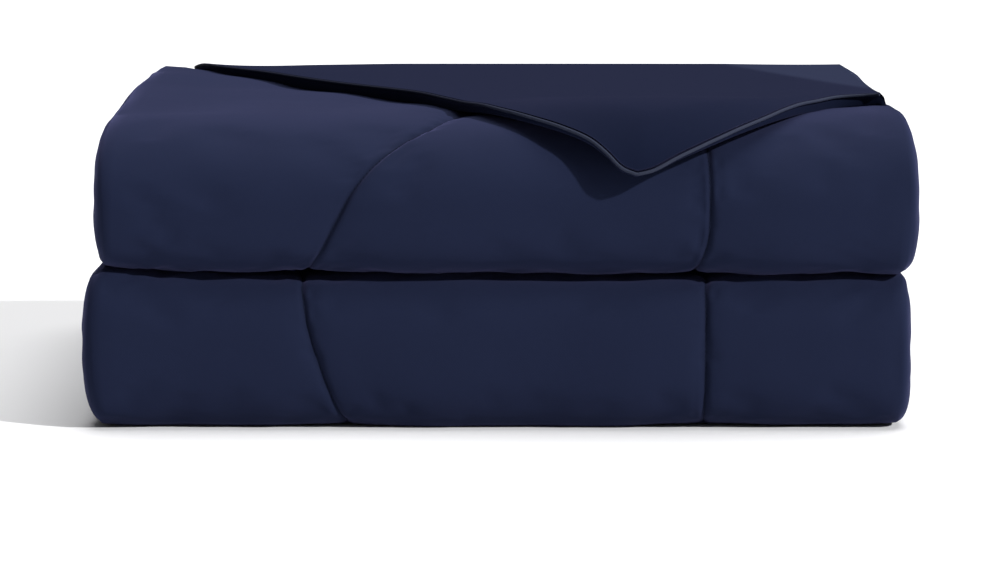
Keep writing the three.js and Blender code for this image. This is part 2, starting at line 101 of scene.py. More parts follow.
def clamp01(value: Array) -> Array:
    """Hold a value between 0 and 1.

    Args:
        value: Any numbers.

    Returns:
        The numbers, none below 0 or above 1.
    """
    return np.clip(value, 0.0, 1.0)


def smooth(value: Array) -> Array:
    """Ease from 0 to 1 with no slope at either end.

    Args:
        value: Shares, clamped to 0 and 1.

    Returns:
        The eased shares.
    """
    share = clamp01(value)
    return share * share * (3.0 - 2.0 * share)


def mix(start: Array, end: Array, share: Array) -> Array:
    """Blend two values.

    Args:
        start: The value at share 0.
        end: The value at share 1.
        share: How far from start to end.

    Returns:
        The blended value.
    """
    return start + (end - start) * share


def lengths_along(path: Array) -> Array:
    """Measure a path.

    Args:
        path: Points, one a row.

    Returns:
        The distance along the path at each point.
    """
    steps = np.linalg.norm(np.diff(path, axis=0), axis=1)
    return np.concatenate(([0.0], np.cumsum(steps)))


def resample(path: Array, count: int) -> Array:
    """Space points evenly along a path.

    Args:
        path: Points, one a row.
        count: How many points to return.

    Returns:
        The evenly spaced points, both ends kept.
    """
    along = lengths_along(path)
    wanted = np.linspace(0.0, along[-1], count)
    return np.column_stack([np.interp(wanted, along, column) for column in path.T])


def read_table(table: Rows, at: Array) -> Array:
    """Read a table by a smooth curve through its rows.

    Args:
        table: Three or more rows of place and value, places rising.
        at: The places to read.

    Returns:
        The values there, held level beyond both ends.
    """
    places, values = np.array(table, float).T
    steps = np.diff(places)
    chords = np.diff(values) / steps
    inner = (values[2:] - values[:-2]) / (places[2:] - places[:-2])
    slopes = np.concatenate((chords[:1], inner, chords[-1:]))
    where = np.clip(at, places[0], places[-1])
    row = np.clip(np.searchsorted(places, where) - 1, 0, len(steps) - 1)
    share = (where - places[row]) / steps[row]
    bowed = share * (1.0 - share) * steps[row]
    lean = (1.0 - share) * (slopes[row] - chords[row]) + share * (chords[row] - slopes[row + 1])
    return mix(values[row], values[row + 1], share) + bowed * lean


def rounded(value: Array, square: float) -> Array:
    """Square off a sine or cosine.

    Args:
        value: The sine or cosine.
        square: 2 to leave it as it is, more for squarer shoulders.

    Returns:
        The squared-off value, with its sign kept.
    """
    return np.sign(value) * np.abs(value) ** (2.0 / square)


def level(start: float, end: float, height: float) -> Array:
    """Draw a level line.

    Args:
        start: Its first y.
        end: Its last y.
        height: Its height.

    Returns:
        Its two ends, y and z a row.
    """
    return np.array(((start, height), (end, height)))


def bend(centre: Pair, reach: Pair, turn: Pair, square: float, steps: int = 240) -> Array:
    """Draw part of a squared-off ellipse.

    Args:
        centre: Its middle, y and z.
        reach: Its half sizes, y and z.
        turn: The first and last angle, in degrees.
        square: 2 for an ellipse, more for squarer shoulders.
        steps: How many steps it is drawn in.

    Returns:
        The points, y and z a row.
    """
    angle = np.radians(np.linspace(turn[0], turn[1], steps + 1))
    round_ones = zip(centre, reach, (np.cos(angle), np.sin(angle)))
    return np.column_stack([at + far * rounded(one, square) for at, far, one in round_ones])


def outward(path: Array) -> Array:
    """Find the directions to the left of a path.

    Args:
        path: Points, y and z a row.

    Returns:
        The direction at each point, of length 1.
    """
    tangent = np.gradient(path, axis=0)
    tangent /= np.maximum(TINY, np.linalg.norm(tangent, axis=1))[:, None]
    return np.column_stack((-tangent[:, 1], tangent[:, 0]))


def catmull_rom(rows: Array, per_span: int = 40) -> Array:
    """Draw a centripetal curve through rows of points.

    Args:
        rows: The points, one a row.
        per_span: How many points to draw between two rows.

    Returns:
        The drawn points.
    """
    ends = (2.0 * rows[0] - rows[1], 2.0 * rows[-1] - rows[-2])
    knots = np.vstack((ends[0], rows, ends[1]))
    drawn = []
    for a, b, c, d in zip(knots[:-3], knots[1:-2], knots[2:-1], knots[3:]):
        spans = [math.sqrt(float(np.linalg.norm(q - p))) for p, q in ((a, b), (b, c), (c, d))]
        before = (b - a) / spans[0] - (c - a) / (spans[0] + spans[1]) + (c - b) / spans[1]
        after = (c - b) / spans[1] - (d - b) / (spans[1] + spans[2]) + (d - c) / spans[2]
        share = np.linspace(0.0, 1.0, per_span, endpoint=False)[:, None]
        square, cube = share**2, share**3
        drawn.append(
            (2.0 * cube - 3.0 * square + 1.0) * b
            + (cube - 2.0 * square + share) * before * spans[1]
            + (3.0 * square - 2.0 * cube) * c
            + (cube - square) * after * spans[1]
        )
    return np.vstack((*drawn, rows[-1:]))


def waves(first: Array, second: Array, pitch: float, seed: int, count: int = 9) -> Array:
    """Add up sine waves in many directions into a soft, uneven surface.

    Args:
        first: One flat coordinate.
        second: The other flat coordinate.
        pitch: The middle wavelength, in the coordinates' unit.
        seed: The seed of the directions and phases.
        count: How many waves are added.

    Returns:
        Heights of about -1 to 1.
    """
    random = np.random.default_rng(seed)
    total = np.zeros(np.broadcast(first, second).shape)
    for turn, phase, stretch in random.random((count, 3)):
        angle = 2.0 * math.pi * turn
        wavelength = pitch * (WAVE_SHORTEST + WAVE_SPREAD * stretch)
        run = first * math.cos(angle) + second * math.sin(angle)
        total = total + np.sin(2.0 * math.pi * (run / wavelength + phase))
    return total / math.sqrt(count)


# The folded cloth's sizes


@dataclass(frozen=True)
class FoldSizes:
    """The folded stack's driving sizes, in millimetres, as the solids have them."""

    flat_side: float = 2286.0
    lower_roll: float = 106.0
    upper_roll: float = 104.0
    ply_gap: float = 2.4
    back_ply: float = 53.0
    end_clearance: float = 8.0
    lower_bend_depth: float = 46.0
    upper_bend_depth: float = 92.0
    upper_bend_mid: float = 151.0
    back_bend_depth: float = 86.0
    fold_tip: float = 50.0
    front_squareness: float = 3.6
    crest_squareness: float = 2.4
    back_squareness: float = 2.5
    end_run: float = 14.0
    end_inset: float = 14.0

    @property
    def width(self) -> float:
        """The stack's width: the cloth folded in quarters."""
        return self.flat_side / 4.0

    @property
    def front(self) -> float:
        """Where the fold bends reach in front."""
        return -self.flat_side / 8.0

    @property
    def back(self) -> float:
        """Where the back bend reaches."""
        return self.flat_side / 8.0

    @property
    def top(self) -> float:
        """The height of the upper roll's top."""
        return self.lower_roll + self.upper_roll


@dataclass(frozen=True)
class Settling:
    """How the stack has settled under its own weight, in millimetres."""

    upper_lean: float = 7.0
    lean_run: float = 24.0
    left_shoulder: tuple[float, float, float] = (190.0, 0.0, -11.0)
    right_shoulder: tuple[float, float, float] = (110.0, -7.0, -2.0)
    shoulder_run: tuple[float, float] = (-230.0, 10.0)
    shoulder_power: float = 2.4
    heel_run: float = 45.0
    heel_lift: float = 3.0
    gap_tilt_left: float = 8.0
    gap_tilt_right: float = -1.0
    gap_tilt_power: float = 8.0
    crown: float = 0.5
    crease_from: tuple[float, float] = (168.0, 245.0)
    crease_to: tuple[float, float] = (283.0, -71.0)
    crease_slope: float = 0.02
    end_pinch_run: float = 90.0
    left_pinch: tuple[float, float] = (5.0, 1.0)
    right_pinch: tuple[float, float] = (0.0, 3.0)
    lower_spread: float = 2.0
    calm_from: float = 0.0
    calm_run: float = 180.0

    def apply(self, points: Array, sizes: FoldSizes) -> Array:
        """Move points as the whole stack has settled.

        Args:
            points: Places in the tidy stack, x, y and z along the last axis.
            sizes: The stack's sizes.

        Returns:
            The places in the settled stack.
        """
        x, y, z = points[..., 0], points[..., 1], points[..., 2]
        half = sizes.width / 2.0
        high = clamp01((z - sizes.lower_roll) / sizes.upper_roll)
        tilt_share = np.where(z < sizes.lower_roll, clamp01(z / sizes.lower_roll), 1.0 - high)
        left_tilt = self.gap_tilt_left * clamp01(-x / half) ** self.gap_tilt_power
        right_tilt = self.gap_tilt_right * clamp01(x / half) ** self.gap_tilt_power
        tilt = np.where(x < 0.0, left_tilt, right_tilt)
        calm = smooth((y - self.calm_from) / self.calm_run)
        lean_at = smooth((z - sizes.lower_roll) / self.lean_run + 0.5)
        lean = self.upper_lean * (mix(lean_at, clamp01(z / sizes.top), calm) - 0.5)
        drop = np.zeros_like(x)
        start, end = self.shoulder_run
        back_share = smooth((y - start) / (end - start))
        for side, (reach, ahead, behind) in ((-1.0, self.left_shoulder), (1.0, self.right_shoulder)):
            outward = clamp01((side * x - (half - reach)) / reach) ** self.shoulder_power
            drop = drop + mix(ahead, behind, back_share) * outward
        run = np.subtract(self.crease_to, self.crease_from)
        past = (y - self.crease_from[1]) * run[0] - (x - self.crease_from[0]) * run[1]
        drop = drop + self.crease_slope * np.maximum(0.0, past / math.hypot(*run))
        crown = self.crown * clamp01(1.0 - (x / half) ** 2) * clamp01(1.0 - (y / sizes.back) ** 2)
        heel_share = clamp01((np.abs(x) - (half - self.heel_run)) / self.heel_run) ** 2
        heel = self.heel_lift * heel_share * (1.0 - clamp01(z / sizes.lower_roll)) ** 2
        drawn_in = self._drawn_in(x, z, sizes) * (1.0 - calm)
        rise = tilt * tilt_share + (crown - drop) * high + heel
        return np.stack((x + lean - drawn_in, y, z + rise), axis=-1)

    def _drawn_in(self, x: Array, z: Array, sizes: FoldSizes) -> Array:
        """Work out how far the rolls' ends draw in towards their tops and bottoms.

        Args:
            x: Each point's x in the tidy stack.
            z: Its z.
            sizes: The stack's sizes.

        Returns:
            How far each point moves to the left.
        """
        half = sizes.width / 2.0
        upper = z > sizes.lower_roll
        middle = np.where(upper, sizes.lower_roll + sizes.upper_roll / 2.0, sizes.lower_roll / 2.0)
        reach = np.where(upper, sizes.upper_roll / 2.0, sizes.lower_roll / 2.0)
        off = clamp01(np.abs(z - middle) / reach) ** 2
        near_end = clamp01((np.abs(x) - (half - self.end_pinch_run)) / self.end_pinch_run) ** 2
        left = np.where(upper, self.left_pinch[1], self.left_pinch[0])
        right = np.where(upper, self.right_pinch[1], self.right_pinch[0])
        spread = np.where(upper, 0.0, self.lower_spread)
        pinch = np.where(x < 0.0, spread - left * off, right * off - spread)
        return pinch * near_end


@dataclass(frozen=True)
class Stretch:
    """One stretch of the ribbon: its outer and inner lines, and how closely rows follow."""

    outer: Array
    inner: Array
    pitch: float
    lower: bool = False

    def rows(self) -> tuple[Array, Array]:
        """Space matching points, y and z a row, along the outer and the inner line."""
        count = max(2, round(lengths_along(self.outer)[-1] / self.pitch) + 1)
        return resample(self.outer, count), resample(self.inner, count)


@dataclass(frozen=True)
class Section:
    """The fold section: one ribbon of four plies, drawn as matching outer and inner lines.

    The pitches are how closely the rows follow each other, in millimetres.
    """

    sizes: FoldSizes = FoldSizes()
    front_pitch: float = 2.4
    top_pitch: float = 5.0
    back_pitch: float = 4.6
    bottom_pitch: float = 12.0
    hidden_pitch: float = 24.0
    tip_steps: int = 24

    def upper_tuck(self) -> Array:
        """Draw the upper roll's under bend, from the gap up to its middle.

        Returns:
            The points, y and z a row.
        """
        s = self.sizes
        high = s.upper_bend_mid - s.lower_roll - s.ply_gap / 2.0
        centre = (s.front + s.lower_bend_depth, s.upper_bend_mid)
        return bend(centre, (s.lower_bend_depth, high), (270.0, 180.0), s.front_squareness)

    def upper_crest(self) -> Array:
        """Draw the upper roll's front, from its middle up to the flat top.

        Returns:
            The points, y and z a row.
        """
        s = self.sizes
        centre = (s.front + s.upper_bend_depth, s.upper_bend_mid)
        reach = (s.upper_bend_depth, s.top - s.upper_bend_mid)
        return bend(centre, reach, (180.0, 90.0), s.crest_squareness)

    def back_bend(self) -> Array:
        """Draw the one big bend at the back, from the top down to the bottom.

        Returns:
            The points, y and z a row.
        """
        s = self.sizes
        centre = (s.back - s.back_bend_depth, s.top / 2.0)
        return bend(centre, (s.back_bend_depth, s.top / 2.0), (90.0, -90.0), s.back_squareness)

    def lower_front(self) -> Array:
        """Draw the lower roll's front, from the bottom up to the gap.

        Returns:
            The points, y and z a row.
        """
        s = self.sizes
        high = (s.lower_roll - s.ply_gap / 2.0) / 2.0
        centre = (s.front + s.lower_bend_depth, high)
        return bend(centre, (s.lower_bend_depth, high), (270.0, 90.0), s.front_squareness)

    def inner_back(self) -> Array:
        """Draw the line inside the back bend, from its top to its bottom.

        Returns:
            The points, y and z a row.
        """
        s = self.sizes
        centre = (s.back - s.back_bend_depth, s.lower_roll)
        deep = s.back_bend_depth - s.back_ply
        upper = bend(centre, (deep, (s.upper_roll + s.ply_gap) / 2.0), (90.0, 0.0), s.back_squareness)
        lower = bend(centre, (deep, (s.lower_roll + s.ply_gap) / 2.0), (0.0, -90.0), s.back_squareness)
        return np.vstack((upper, lower[1:]))

    def tip(self, height: float) -> Array:
        """Draw the rounded front end of the slit between two plies.

        Args:
            height: The slit's middle height.

        Returns:
            The points from the slit's lower to its upper face.
        """
        s = self.sizes
        half = s.ply_gap / 2.0
        centre = (s.front + s.fold_tip, height)
        return bend(centre, (half, half), (270.0, 90.0), 2.0, self.tip_steps)

    def stretches(self) -> list[Stretch]:
        """Cut the ribbon into stretches, from one hidden end to the other.

        Returns:
            The stretches in order along the cloth.
        """
        s = self.sizes
        half = s.ply_gap / 2.0
        upper_split = s.lower_roll + s.upper_roll / 2.0
        lower_split = s.lower_roll / 2.0
        front = s.front + s.lower_bend_depth
        crest_end = s.front + s.upper_bend_depth
        back = s.back - s.back_bend_depth
        ply_end = s.back - s.back_ply - s.end_clearance
        return [
            Stretch(
                level(ply_end, front, s.lower_roll + half),
                level(ply_end, front, upper_split - half),
                self.hidden_pitch,
            ),
            Stretch(
                np.vstack((self.upper_tuck(), self.upper_crest()[1:])),
                np.vstack((self.tip(upper_split), ((crest_end, upper_split + half),))),
                self.front_pitch,
            ),
            Stretch(
                level(crest_end, back, s.top),
                level(crest_end, back, upper_split + half),
                self.top_pitch,
            ),
            Stretch(self.back_bend(), self.inner_back(), self.back_pitch),
            Stretch(
                level(back, front, 0.0),
                level(back, front, lower_split - half),
                self.bottom_pitch,
            ),
            Stretch(self.lower_front(), self.tip(lower_split), self.front_pitch, lower=True),
            Stretch(
                level(front, ply_end, s.lower_roll - half),
                level(front, ply_end, lower_split + half),
                self.hidden_pitch,
                lower=True,
            ),
        ]


@dataclass(frozen=True)
class Seams:
    """Where the two quilting seams run, and the channel that each one draws in.

    up is the distance along the cloth above the gap between the rolls, down the
    distance below it. Each row of a table is that distance and the seam's x.
    """

    curved_up: Rows = (
        (0, -138), (37, -133), (56, -125), (78, -114), (91, -107), (112, -92), (134, -74),
        (163, -52), (243, -24), (330, -2), (560, -50), (700, -112), (860, -132), (1300, -104),
    )
    curved_down: Rows = ((0, -138), (60, -131), (95, -121), (140, -104))
    straight_up: Rows = ((0, 131), (37, 134), (59, 139), (93, 140), (160, 138), (1300, 140))
    straight_down: Rows = ((0, 141), (20, 144), (140, 144))
    depth: float = 3.8
    reach: float = 20.0
    sharpness: float = 2.7
    crease: float = 0.5
    crease_reach: float = 4.5
    crease_sharpness: float = 1.5
    near_reach: float = 7.0
    flank: tuple[float, ...] = (20, 15, 11.5, 8.5, 6.2, 4.4, 3.0, 1.9, 1.0, 0.4)
    pucker: float = 0.3
    pucker_pitch: float = 11.0
    pucker_across: float = 0.25
    pucker_waves: int = 4
    pucker_from: float = 1.5
    puff: float = 0.9
    puff_run: float = 60.0

    def places(self, up: Array, down: Array, lower: Array) -> tuple[Array, Array]:
        """Find both seams on every row.

        Args:
            up: Each row's distance above the gap.
            down: Each row's distance below the gap.
            lower: Which rows belong to the lower roll's front.

        Returns:
            The curved and the straight seam's x on each row.
        """
        tables = ((self.curved_up, self.curved_down), (self.straight_up, self.straight_down))
        curved, straight = (
            np.where(lower, read_table(below, down), read_table(above, up)) for above, below in tables
        )
        return curved, straight

    def relief(
        self, x: Array, along: Array, seam_x: Array, slant: Array, seed: int
    ) -> tuple[Array, Array]:
        """Work out the cloth's height beside one seam.

        Args:
            x: Each point's x.
            along: Each point's distance along the cloth.
            seam_x: The seam's x on the point's row.
            slant: The cosine of the seam's slant there.
            seed: The seed of the puckers.

        Returns:
            The height over the plain face, and how near the seam is, from 0 to 1.
        """
        away = np.abs(x - seam_x) * slant
        wide = clamp01(1.0 - away / self.reach) ** self.sharpness
        narrow = clamp01(1.0 - away / self.crease_reach) ** self.crease_sharpness
        pinch = mix(wide, narrow, self.crease)
        near = np.exp(-away / self.near_reach)
        across = x * self.pucker_across
        gather = waves(along, across, self.pucker_pitch, seed, self.pucker_waves)
        puckers = self.pucker * gather * near * clamp01(away / self.pucker_from)
        swell = self.puff * smooth(away / self.puff_run) - self.puff
        return swell - (self.depth - self.puff) * pinch + puckers, near


@dataclass(frozen=True)
class Lobes:
    """The rounded ends of each ply, where the cloth turned over before it was stacked.

    The groove is between the right end's two bends, and the ripple runs along every end.
    """

    reach: float = 9.0
    squareness: float = 2.3
    steps: int = 18
    groove: float = 6.0
    groove_width: float = 0.11
    groove_power: float = 0.75
    ripple: float = 0.5
    ripple_pitch: float = 46.0
    ripple_through: float = 60.0
    ripple_seed: int = 31

    def shares(self) -> tuple[Array, Array]:
        """Draw one rounded end, from the outer to the inner face.

        Returns:
            How far out each point is, and how far through the ply, from 0 to 1.
        """
        turn = np.linspace(0.0, math.pi, self.steps + 2)[1:-1]
        through = 0.5 - 0.5 * rounded(np.cos(turn), self.squareness)
        return rounded(np.sin(turn), self.squareness), through

    def groove_at(self, side: Side, through: Array) -> Array:
        """Work out how far the end draws in between two turned layers.

        Args:
            side: Which end. Only the right one has two bends in each ply.
            through: How far through the ply each point is.

        Returns:
            The depth of the groove there.
        """
        if side is Side.LEFT:
            return np.zeros_like(through)
        near_middle = clamp01(1.0 - np.abs(through - 0.5) / self.groove_width)
        return self.groove * near_middle**self.groove_power


# Mesh helpers


def add_object(name: str, data: bpy.types.ID) -> bpy.types.Object:
    """Put data into the scene as an object.

    Args:
        name: The object's name.
        data: Its mesh, camera or light.

    Returns:
        The object.
    """
    made = bpy.data.objects.new(name, data)
    bpy.context.scene.collection.objects.link(made)
    return made


def new_piece(
    name: str, points: Array, faces: Faces, cloth_uv: Array | None = None
) -> bpy.types.Object:
    """Make a smooth mesh piece from points in millimetres.

    Args:
        name: The piece's name.
        points: Its points, in millimetres.
        faces: Its faces, as rows of point numbers.
        cloth_uv: For each face corner, its place in the flat cloth, in millimetres.

    Returns:
        The new piece, linked to the scene.
    """
    mesh = bpy.data.meshes.new(name)
    mesh.from_pydata((points * MM).tolist(), [], faces)
    if cloth_uv is not None:
        layer = mesh.uv_layers.new(name="cloth")
        layer.data.foreach_set("uv", (cloth_uv * MM).astype(np.float32).ravel())
    mesh.polygons.foreach_set("use_smooth", np.ones(len(mesh.polygons), bool))
    mesh.validate()
    mesh.update()
    return add_object(name, mesh)


def add_mask(piece: bpy.types.Object, name: str, values: Array) -> None:
    """Keep one number for each point of a piece, for its material.

    Args:
        piece: The piece.
        name: The attribute's name.
        values: One number a point.
    """
    layer = piece.data.attributes.new(name, "FLOAT", "POINT")
    layer.data.foreach_set("value", values.astype(np.float32).ravel())


def grid_faces(rows: int, columns: int, closed: bool) -> Faces:
    """List the four-sided faces of a grid of points.

    Args:
        rows: How many rows it has.
        columns: How many points each row has.
        closed: Whether each row closes on itself.

    Returns:
        The faces, facing along column step times row step.
    """
    reach = columns if closed else columns - 1
    row, column = np.mgrid[0 : rows - 1, 0:reach]
    beside = (column + 1) % columns
    corners = (
        row * columns + column,
        row * columns + beside,
        (row + 1) * columns + beside,
        (row + 1) * columns + column,
    )
    return np.stack(corners, axis=-1).reshape(-1, 4).tolist()


def grid_uv(u: Array, v: Array) -> Array:
    """Lay a grid's faces out flat.

    Args:
        u: The flat place of each grid column, one more than the faces across.
        v: The flat place of each grid row.

    Returns:
        The flat place of each face corner, in the order of grid_faces.
    """
    corners = (
        (ALL_BUT_LAST, ALL_BUT_LAST),
        (ALL_BUT_LAST, ALL_BUT_FIRST),
        (ALL_BUT_FIRST, ALL_BUT_FIRST),
        (ALL_BUT_FIRST, ALL_BUT_LAST),
    )
    places = [np.stack((u[part], v[part]), axis=-1) for part in corners]
    return np.stack(places, axis=2).reshape(-1, 2)


def turned_over(faces: Faces, uv: Array) -> tuple[Faces, Array]:
    """Turn four-sided faces to face the other way, each with its own flat place.

    Args:
        faces: The faces.
        uv: The flat place of each face corner.

    Returns:
        The turned faces and their corners' flat places.
    """
    return [face[::-1] for face in faces], uv.reshape(-1, 4, 2)[:, ::-1].reshape(-1, 2)


@dataclass(frozen=True)
class ClothRun:
    """A short cloth simulation that swells a face between the lines it is sewn along."""

    frames: int = 20
    pressure: float = 4.0
    growth: float = 0.006
    stiffness: float = 12.0
    cap: float = 1.6

    def offsets(self, points: Array, sewn: Array) -> Array:
        """Simulate every second row and column of a face, and spread the result over all.

        Args:
            points: The face's points, rows by columns, in millimetres.
            sewn: True for each point that stays where it is.

        Returns:
            How far each point of the face moves, in millimetres.
        """
        rows, columns = (self._every_second(count) for count in points.shape[:2])
        coarse = points[np.ix_(rows, columns)]
        held = sewn[np.ix_(rows, columns)]
        moved = self._simulate(coarse, held) - coarse
        length = np.maximum(TINY, np.linalg.norm(moved, axis=-1, keepdims=True))
        moved *= self.cap * np.tanh(length / self.cap) / length
        full_rows = self._spread(moved, rows, 0, points.shape[0])
        return self._spread(full_rows, columns, 1, points.shape[1])

    @staticmethod
    def _every_second(count: int) -> Array:
        """List every second number up to a count, and the last one."""
        return np.unique(np.append(np.arange(0, count, 2), count - 1))

    @staticmethod
    def _spread(values: Array, known: Array, axis: int, count: int) -> Array:
        """Fill in the numbers between known ones along one axis.

        Args:
            values: The known values.
            known: Their numbers along the axis.
            axis: The axis.
            count: How many values the axis gets.

        Returns:
            The values with the gaps filled in.
        """
        at = np.arange(count)
        row = np.clip(np.searchsorted(known, at, side="right") - 1, 0, len(known) - 2)
        share = (at - known[row]) / (known[row + 1] - known[row])
        shape = [1, 1, 1]
        shape[axis] = count
        low, high = np.take(values, row, axis), np.take(values, row + 1, axis)
        return mix(low, high, share.reshape(shape))

    def _simulate(self, points: Array, held: Array) -> Array:
        """Run the simulation on a copy of the face and take the copy away again.

        Args:
            points: The face's points, rows by columns, in millimetres.
            held: True for each point that stays where it is.

        Returns:
            The points as the simulation leaves them, in millimetres.
        """
        faces = grid_faces(*points.shape[:2], closed=False)
        sheet = new_piece("cloth_run", points.reshape(-1, 3), faces)
        group = sheet.vertex_groups.new(name="sewn")
        group.add(np.flatnonzero(held.ravel()).tolist(), 1.0, "REPLACE")
        modifier = sheet.modifiers.new("cloth", "CLOTH")
        settings = modifier.settings
        settings.vertex_group_mass = group.name
        settings.use_pressure = True
        settings.uniform_pressure_force = self.pressure
        settings.shrink_min = -self.growth
        settings.tension_stiffness = self.stiffness
        settings.compression_stiffness = self.stiffness
        settings.effector_weights.gravity = 0.0
        modifier.collision_settings.use_collision = False
        modifier.point_cache.frame_start = 1
        modifier.point_cache.frame_end = self.frames
        scene = bpy.context.scene
        for frame in range(1, self.frames + 1):
            scene.frame_set(frame)
        evaluated = sheet.evaluated_get(bpy.context.evaluated_depsgraph_get())
        places = np.empty(len(evaluated.data.vertices) * 3, np.float32)
        evaluated.data.vertices.foreach_get("co", places)
        mesh = sheet.data
        bpy.data.objects.remove(sheet)
        bpy.data.meshes.remove(mesh)
        scene.frame_set(1)
        return places.reshape(points.shape).astype(float) / MM


# The folded stack


@dataclass
class FoldedStack:
    """The quilted cloth as it lies folded: four plies in one ribbon, with rounded ends."""

    section: Section
    lobes: Lobes
    settling: Settling
    shift: Array
    seams: Seams = Seams()
    cloth_run: ClothRun = ClothRun()
    inner_steps: int = 12
    panel_steps: tuple[int, int, int] = (24, 44, 20)
    seam_seeds: tuple[int, int] = (11, 23)
    undulation: float = 0.9
    undulation_pitch: float = 150.0
    undulation_seed: int = 5
    crumple: float = 0.12
    crumple_pitch: float = 48.0
    crumple_seed: int = 7
    calm_by_seams: float = 0.8
    pressed_below: float = 0.5
    pressed_share: float = 0.25
    sewn_from: float = 0.85
    floor_reach: float = 6.0
    gap_reach: float = 14.0
    stitch_rise: float = 0.25

    def __post_init__(self) -> None:
        """Lay out the rows along the ribbon, with their outward directions and seams."""
        outer, inner, lower, starts = [], [], [], []
        for stretch in self.section.stretches():
            outer_rows, inner_rows = stretch.rows()
            joined = 1 if outer else 0
            starts.append(sum(len(part) for part in outer) - joined)
            outer.append(outer_rows[joined:])
            inner.append(inner_rows[joined:])
            lower.append(np.full(len(outer[-1]), stretch.lower))
        self.outer, self.inner, self.lower = (np.concatenate(part) for part in (outer, inner, lower))
        self.along = lengths_along(self.outer)
        self.normal = outward(self.outer)
        self.up = self.along - self.along[starts[1]]
        self.down = self.along[starts[-1]] - self.along
        self.curved, self.straight = self.seams.places(self.up, self.down, self.lower)
        self.outer_x = self._outer_stations()

    @property
    def panel_end(self) -> float:
        """How far the flat panels reach from the middle, before the rounded ends."""
        return self.section.sizes.width / 2.0 - self.lobes.reach

    def build(self) -> bpy.types.Object:
        """Make the folded stack's mesh.

        Returns:
            The piece.
        """
        outer, near = self._outer_face()
        out, through = self.lobes.shares()
        right = self._lobe(Side.RIGHT, out, through)
        left = self._lobe(Side.LEFT, out[::-1], through[::-1])
        loop = np.concatenate((outer, right, self._inner_face(), left), axis=1)
        settled = self.settling.apply(loop, self.section.sizes) + self.shift
        self.face = settled[:, : outer.shape[1]]
        self.face += self.cloth_run.offsets(self.face, self._sewn(near))
        self.face[..., 2] = np.maximum(self.face[..., 2], 0.0)

        rows, columns = loop.shape[:2]
        faces = grid_faces(rows, columns, closed=True)
        middles = []
        for row, step in ((0, -1), (rows - 1, 1)):
            ring = [row * columns + column for column in range(columns)][::step]
            middle = rows * columns + len(middles)
            faces += [[here, there, middle] for here, there in zip(ring, ring[1:] + ring[:1])]
            middles.append(settled[row].mean(axis=0))
        points = np.vstack((settled.reshape(-1, 3), middles))
        end_uv = np.zeros((len(middles) * columns * 3, 2))
        uv = np.vstack((self._flat_places(loop), end_uv))
        piece = new_piece("folded_comforter", points, faces, uv)
        mask = np.zeros((rows, columns))
        mask[:, : near.shape[1]] = near
        # Through the material, this mask also paints shade into the sewn channels.
        add_mask(piece, "seam", np.append(mask, np.zeros(len(middles))))
        return piece

    def _flat_places(self, loop: Array) -> Array:
        """Lay the ribbon's faces out flat.

        Args:
            loop: The points round each row, in the tidy stack.

        Returns:
            The flat place of each face corner.
        """
        around = np.concatenate((loop, loop[:, :1]), axis=1)
        steps = np.linalg.norm(np.diff(around, axis=1), axis=2)
        u = np.concatenate((np.zeros((len(loop), 1)), np.cumsum(steps, axis=1)), axis=1)
        v = np.repeat(self.along[:, None], u.shape[1], axis=1)
        return grid_uv(u + self.outer_x[:, :1], v)

    def _outer_stations(self) -> Array:
        """Space the points across each row's outer face, closest beside the seams.

        Returns:
            The x of each point, one row a ribbon row.
        """
        flank = np.array(self.seams.flank)
        across = np.concatenate((-flank, (0.0,), flank[::-1]))
        curved, straight = self.curved[:, None], self.straight[:, None]
        reach = self.seams.reach
        end = np.full_like(curved, self.panel_end)
        left, middle, right = (
            mix(start, stop, np.linspace(0.0, 1.0, steps + 1)[None, :])
            for start, stop, steps in zip(
                (-end, curved + reach, straight + reach),
                (curved - reach, straight - reach, end),
                self.panel_steps,
            )
        )
        panels = (left[:, :-1], curved + across, middle[:, 1:-1], straight + across, right[:, 1:])
        return np.concatenate(panels, axis=1)

    def _outer_face(self) -> tuple[Array, Array]:
        """Raise the outer face: its panels, channels and soft unevenness.

        Returns:
            The points in the tidy stack, and how near each is to a seam.
        """
        x = self.outer_x
        along = np.repeat(self.along[:, None], x.shape[1], axis=1)
        height = np.zeros_like(x)
        near = np.zeros_like(x)
        for seed, seam in zip(self.seam_seeds, (self.curved, self.straight)):
            slant = 1.0 / np.sqrt(1.0 + np.gradient(seam, self.along) ** 2)
            relief, close = self.seams.relief(x, along, seam[:, None], slant[:, None], seed)
            height = height + relief
            near = np.maximum(near, close)
        height += self.seams.puff
        calm = 1.0 - self.calm_by_seams * near
        for size, pitch, seed in (
            (self.undulation, self.undulation_pitch, self.undulation_seed),
            (self.crumple, self.crumple_pitch, self.crumple_seed),
        ):
            height += size * waves(x, along, pitch, seed) * calm
        height *= np.where(self._rests()[:, None], self.pressed_share, 1.0)
        y, z = (self.outer[:, None, axis] + self.normal[:, None, axis] * height for axis in (0, 1))
        return np.stack((x, y, np.maximum(z, 0.0)), axis=-1), near

    def _sewn(self, near: Array) -> Array:
        """Find the points that the cloth run leaves alone: seams, ends and pressed rows.

        Args:
            near: How near each point is to a seam.

        Returns:
            True for each such point.
        """
        sewn = near > self.sewn_from
        sewn[:, [0, -1]] = True
        beside_gap = np.where(self.lower, self.down, self.up) < self.gap_reach
        sewn[self._rests() | beside_gap | (self.outer[:, 1] < self.floor_reach)] = True
        return sewn

    def _rests(self) -> Array:
        """Find the rows whose outer face is pressed: the underside and the hidden plies."""
        hidden = (self.up < 0.0) | (self.lower & (self.down < 0.0))
        return hidden | (self.outer[:, 1] < self.pressed_below)

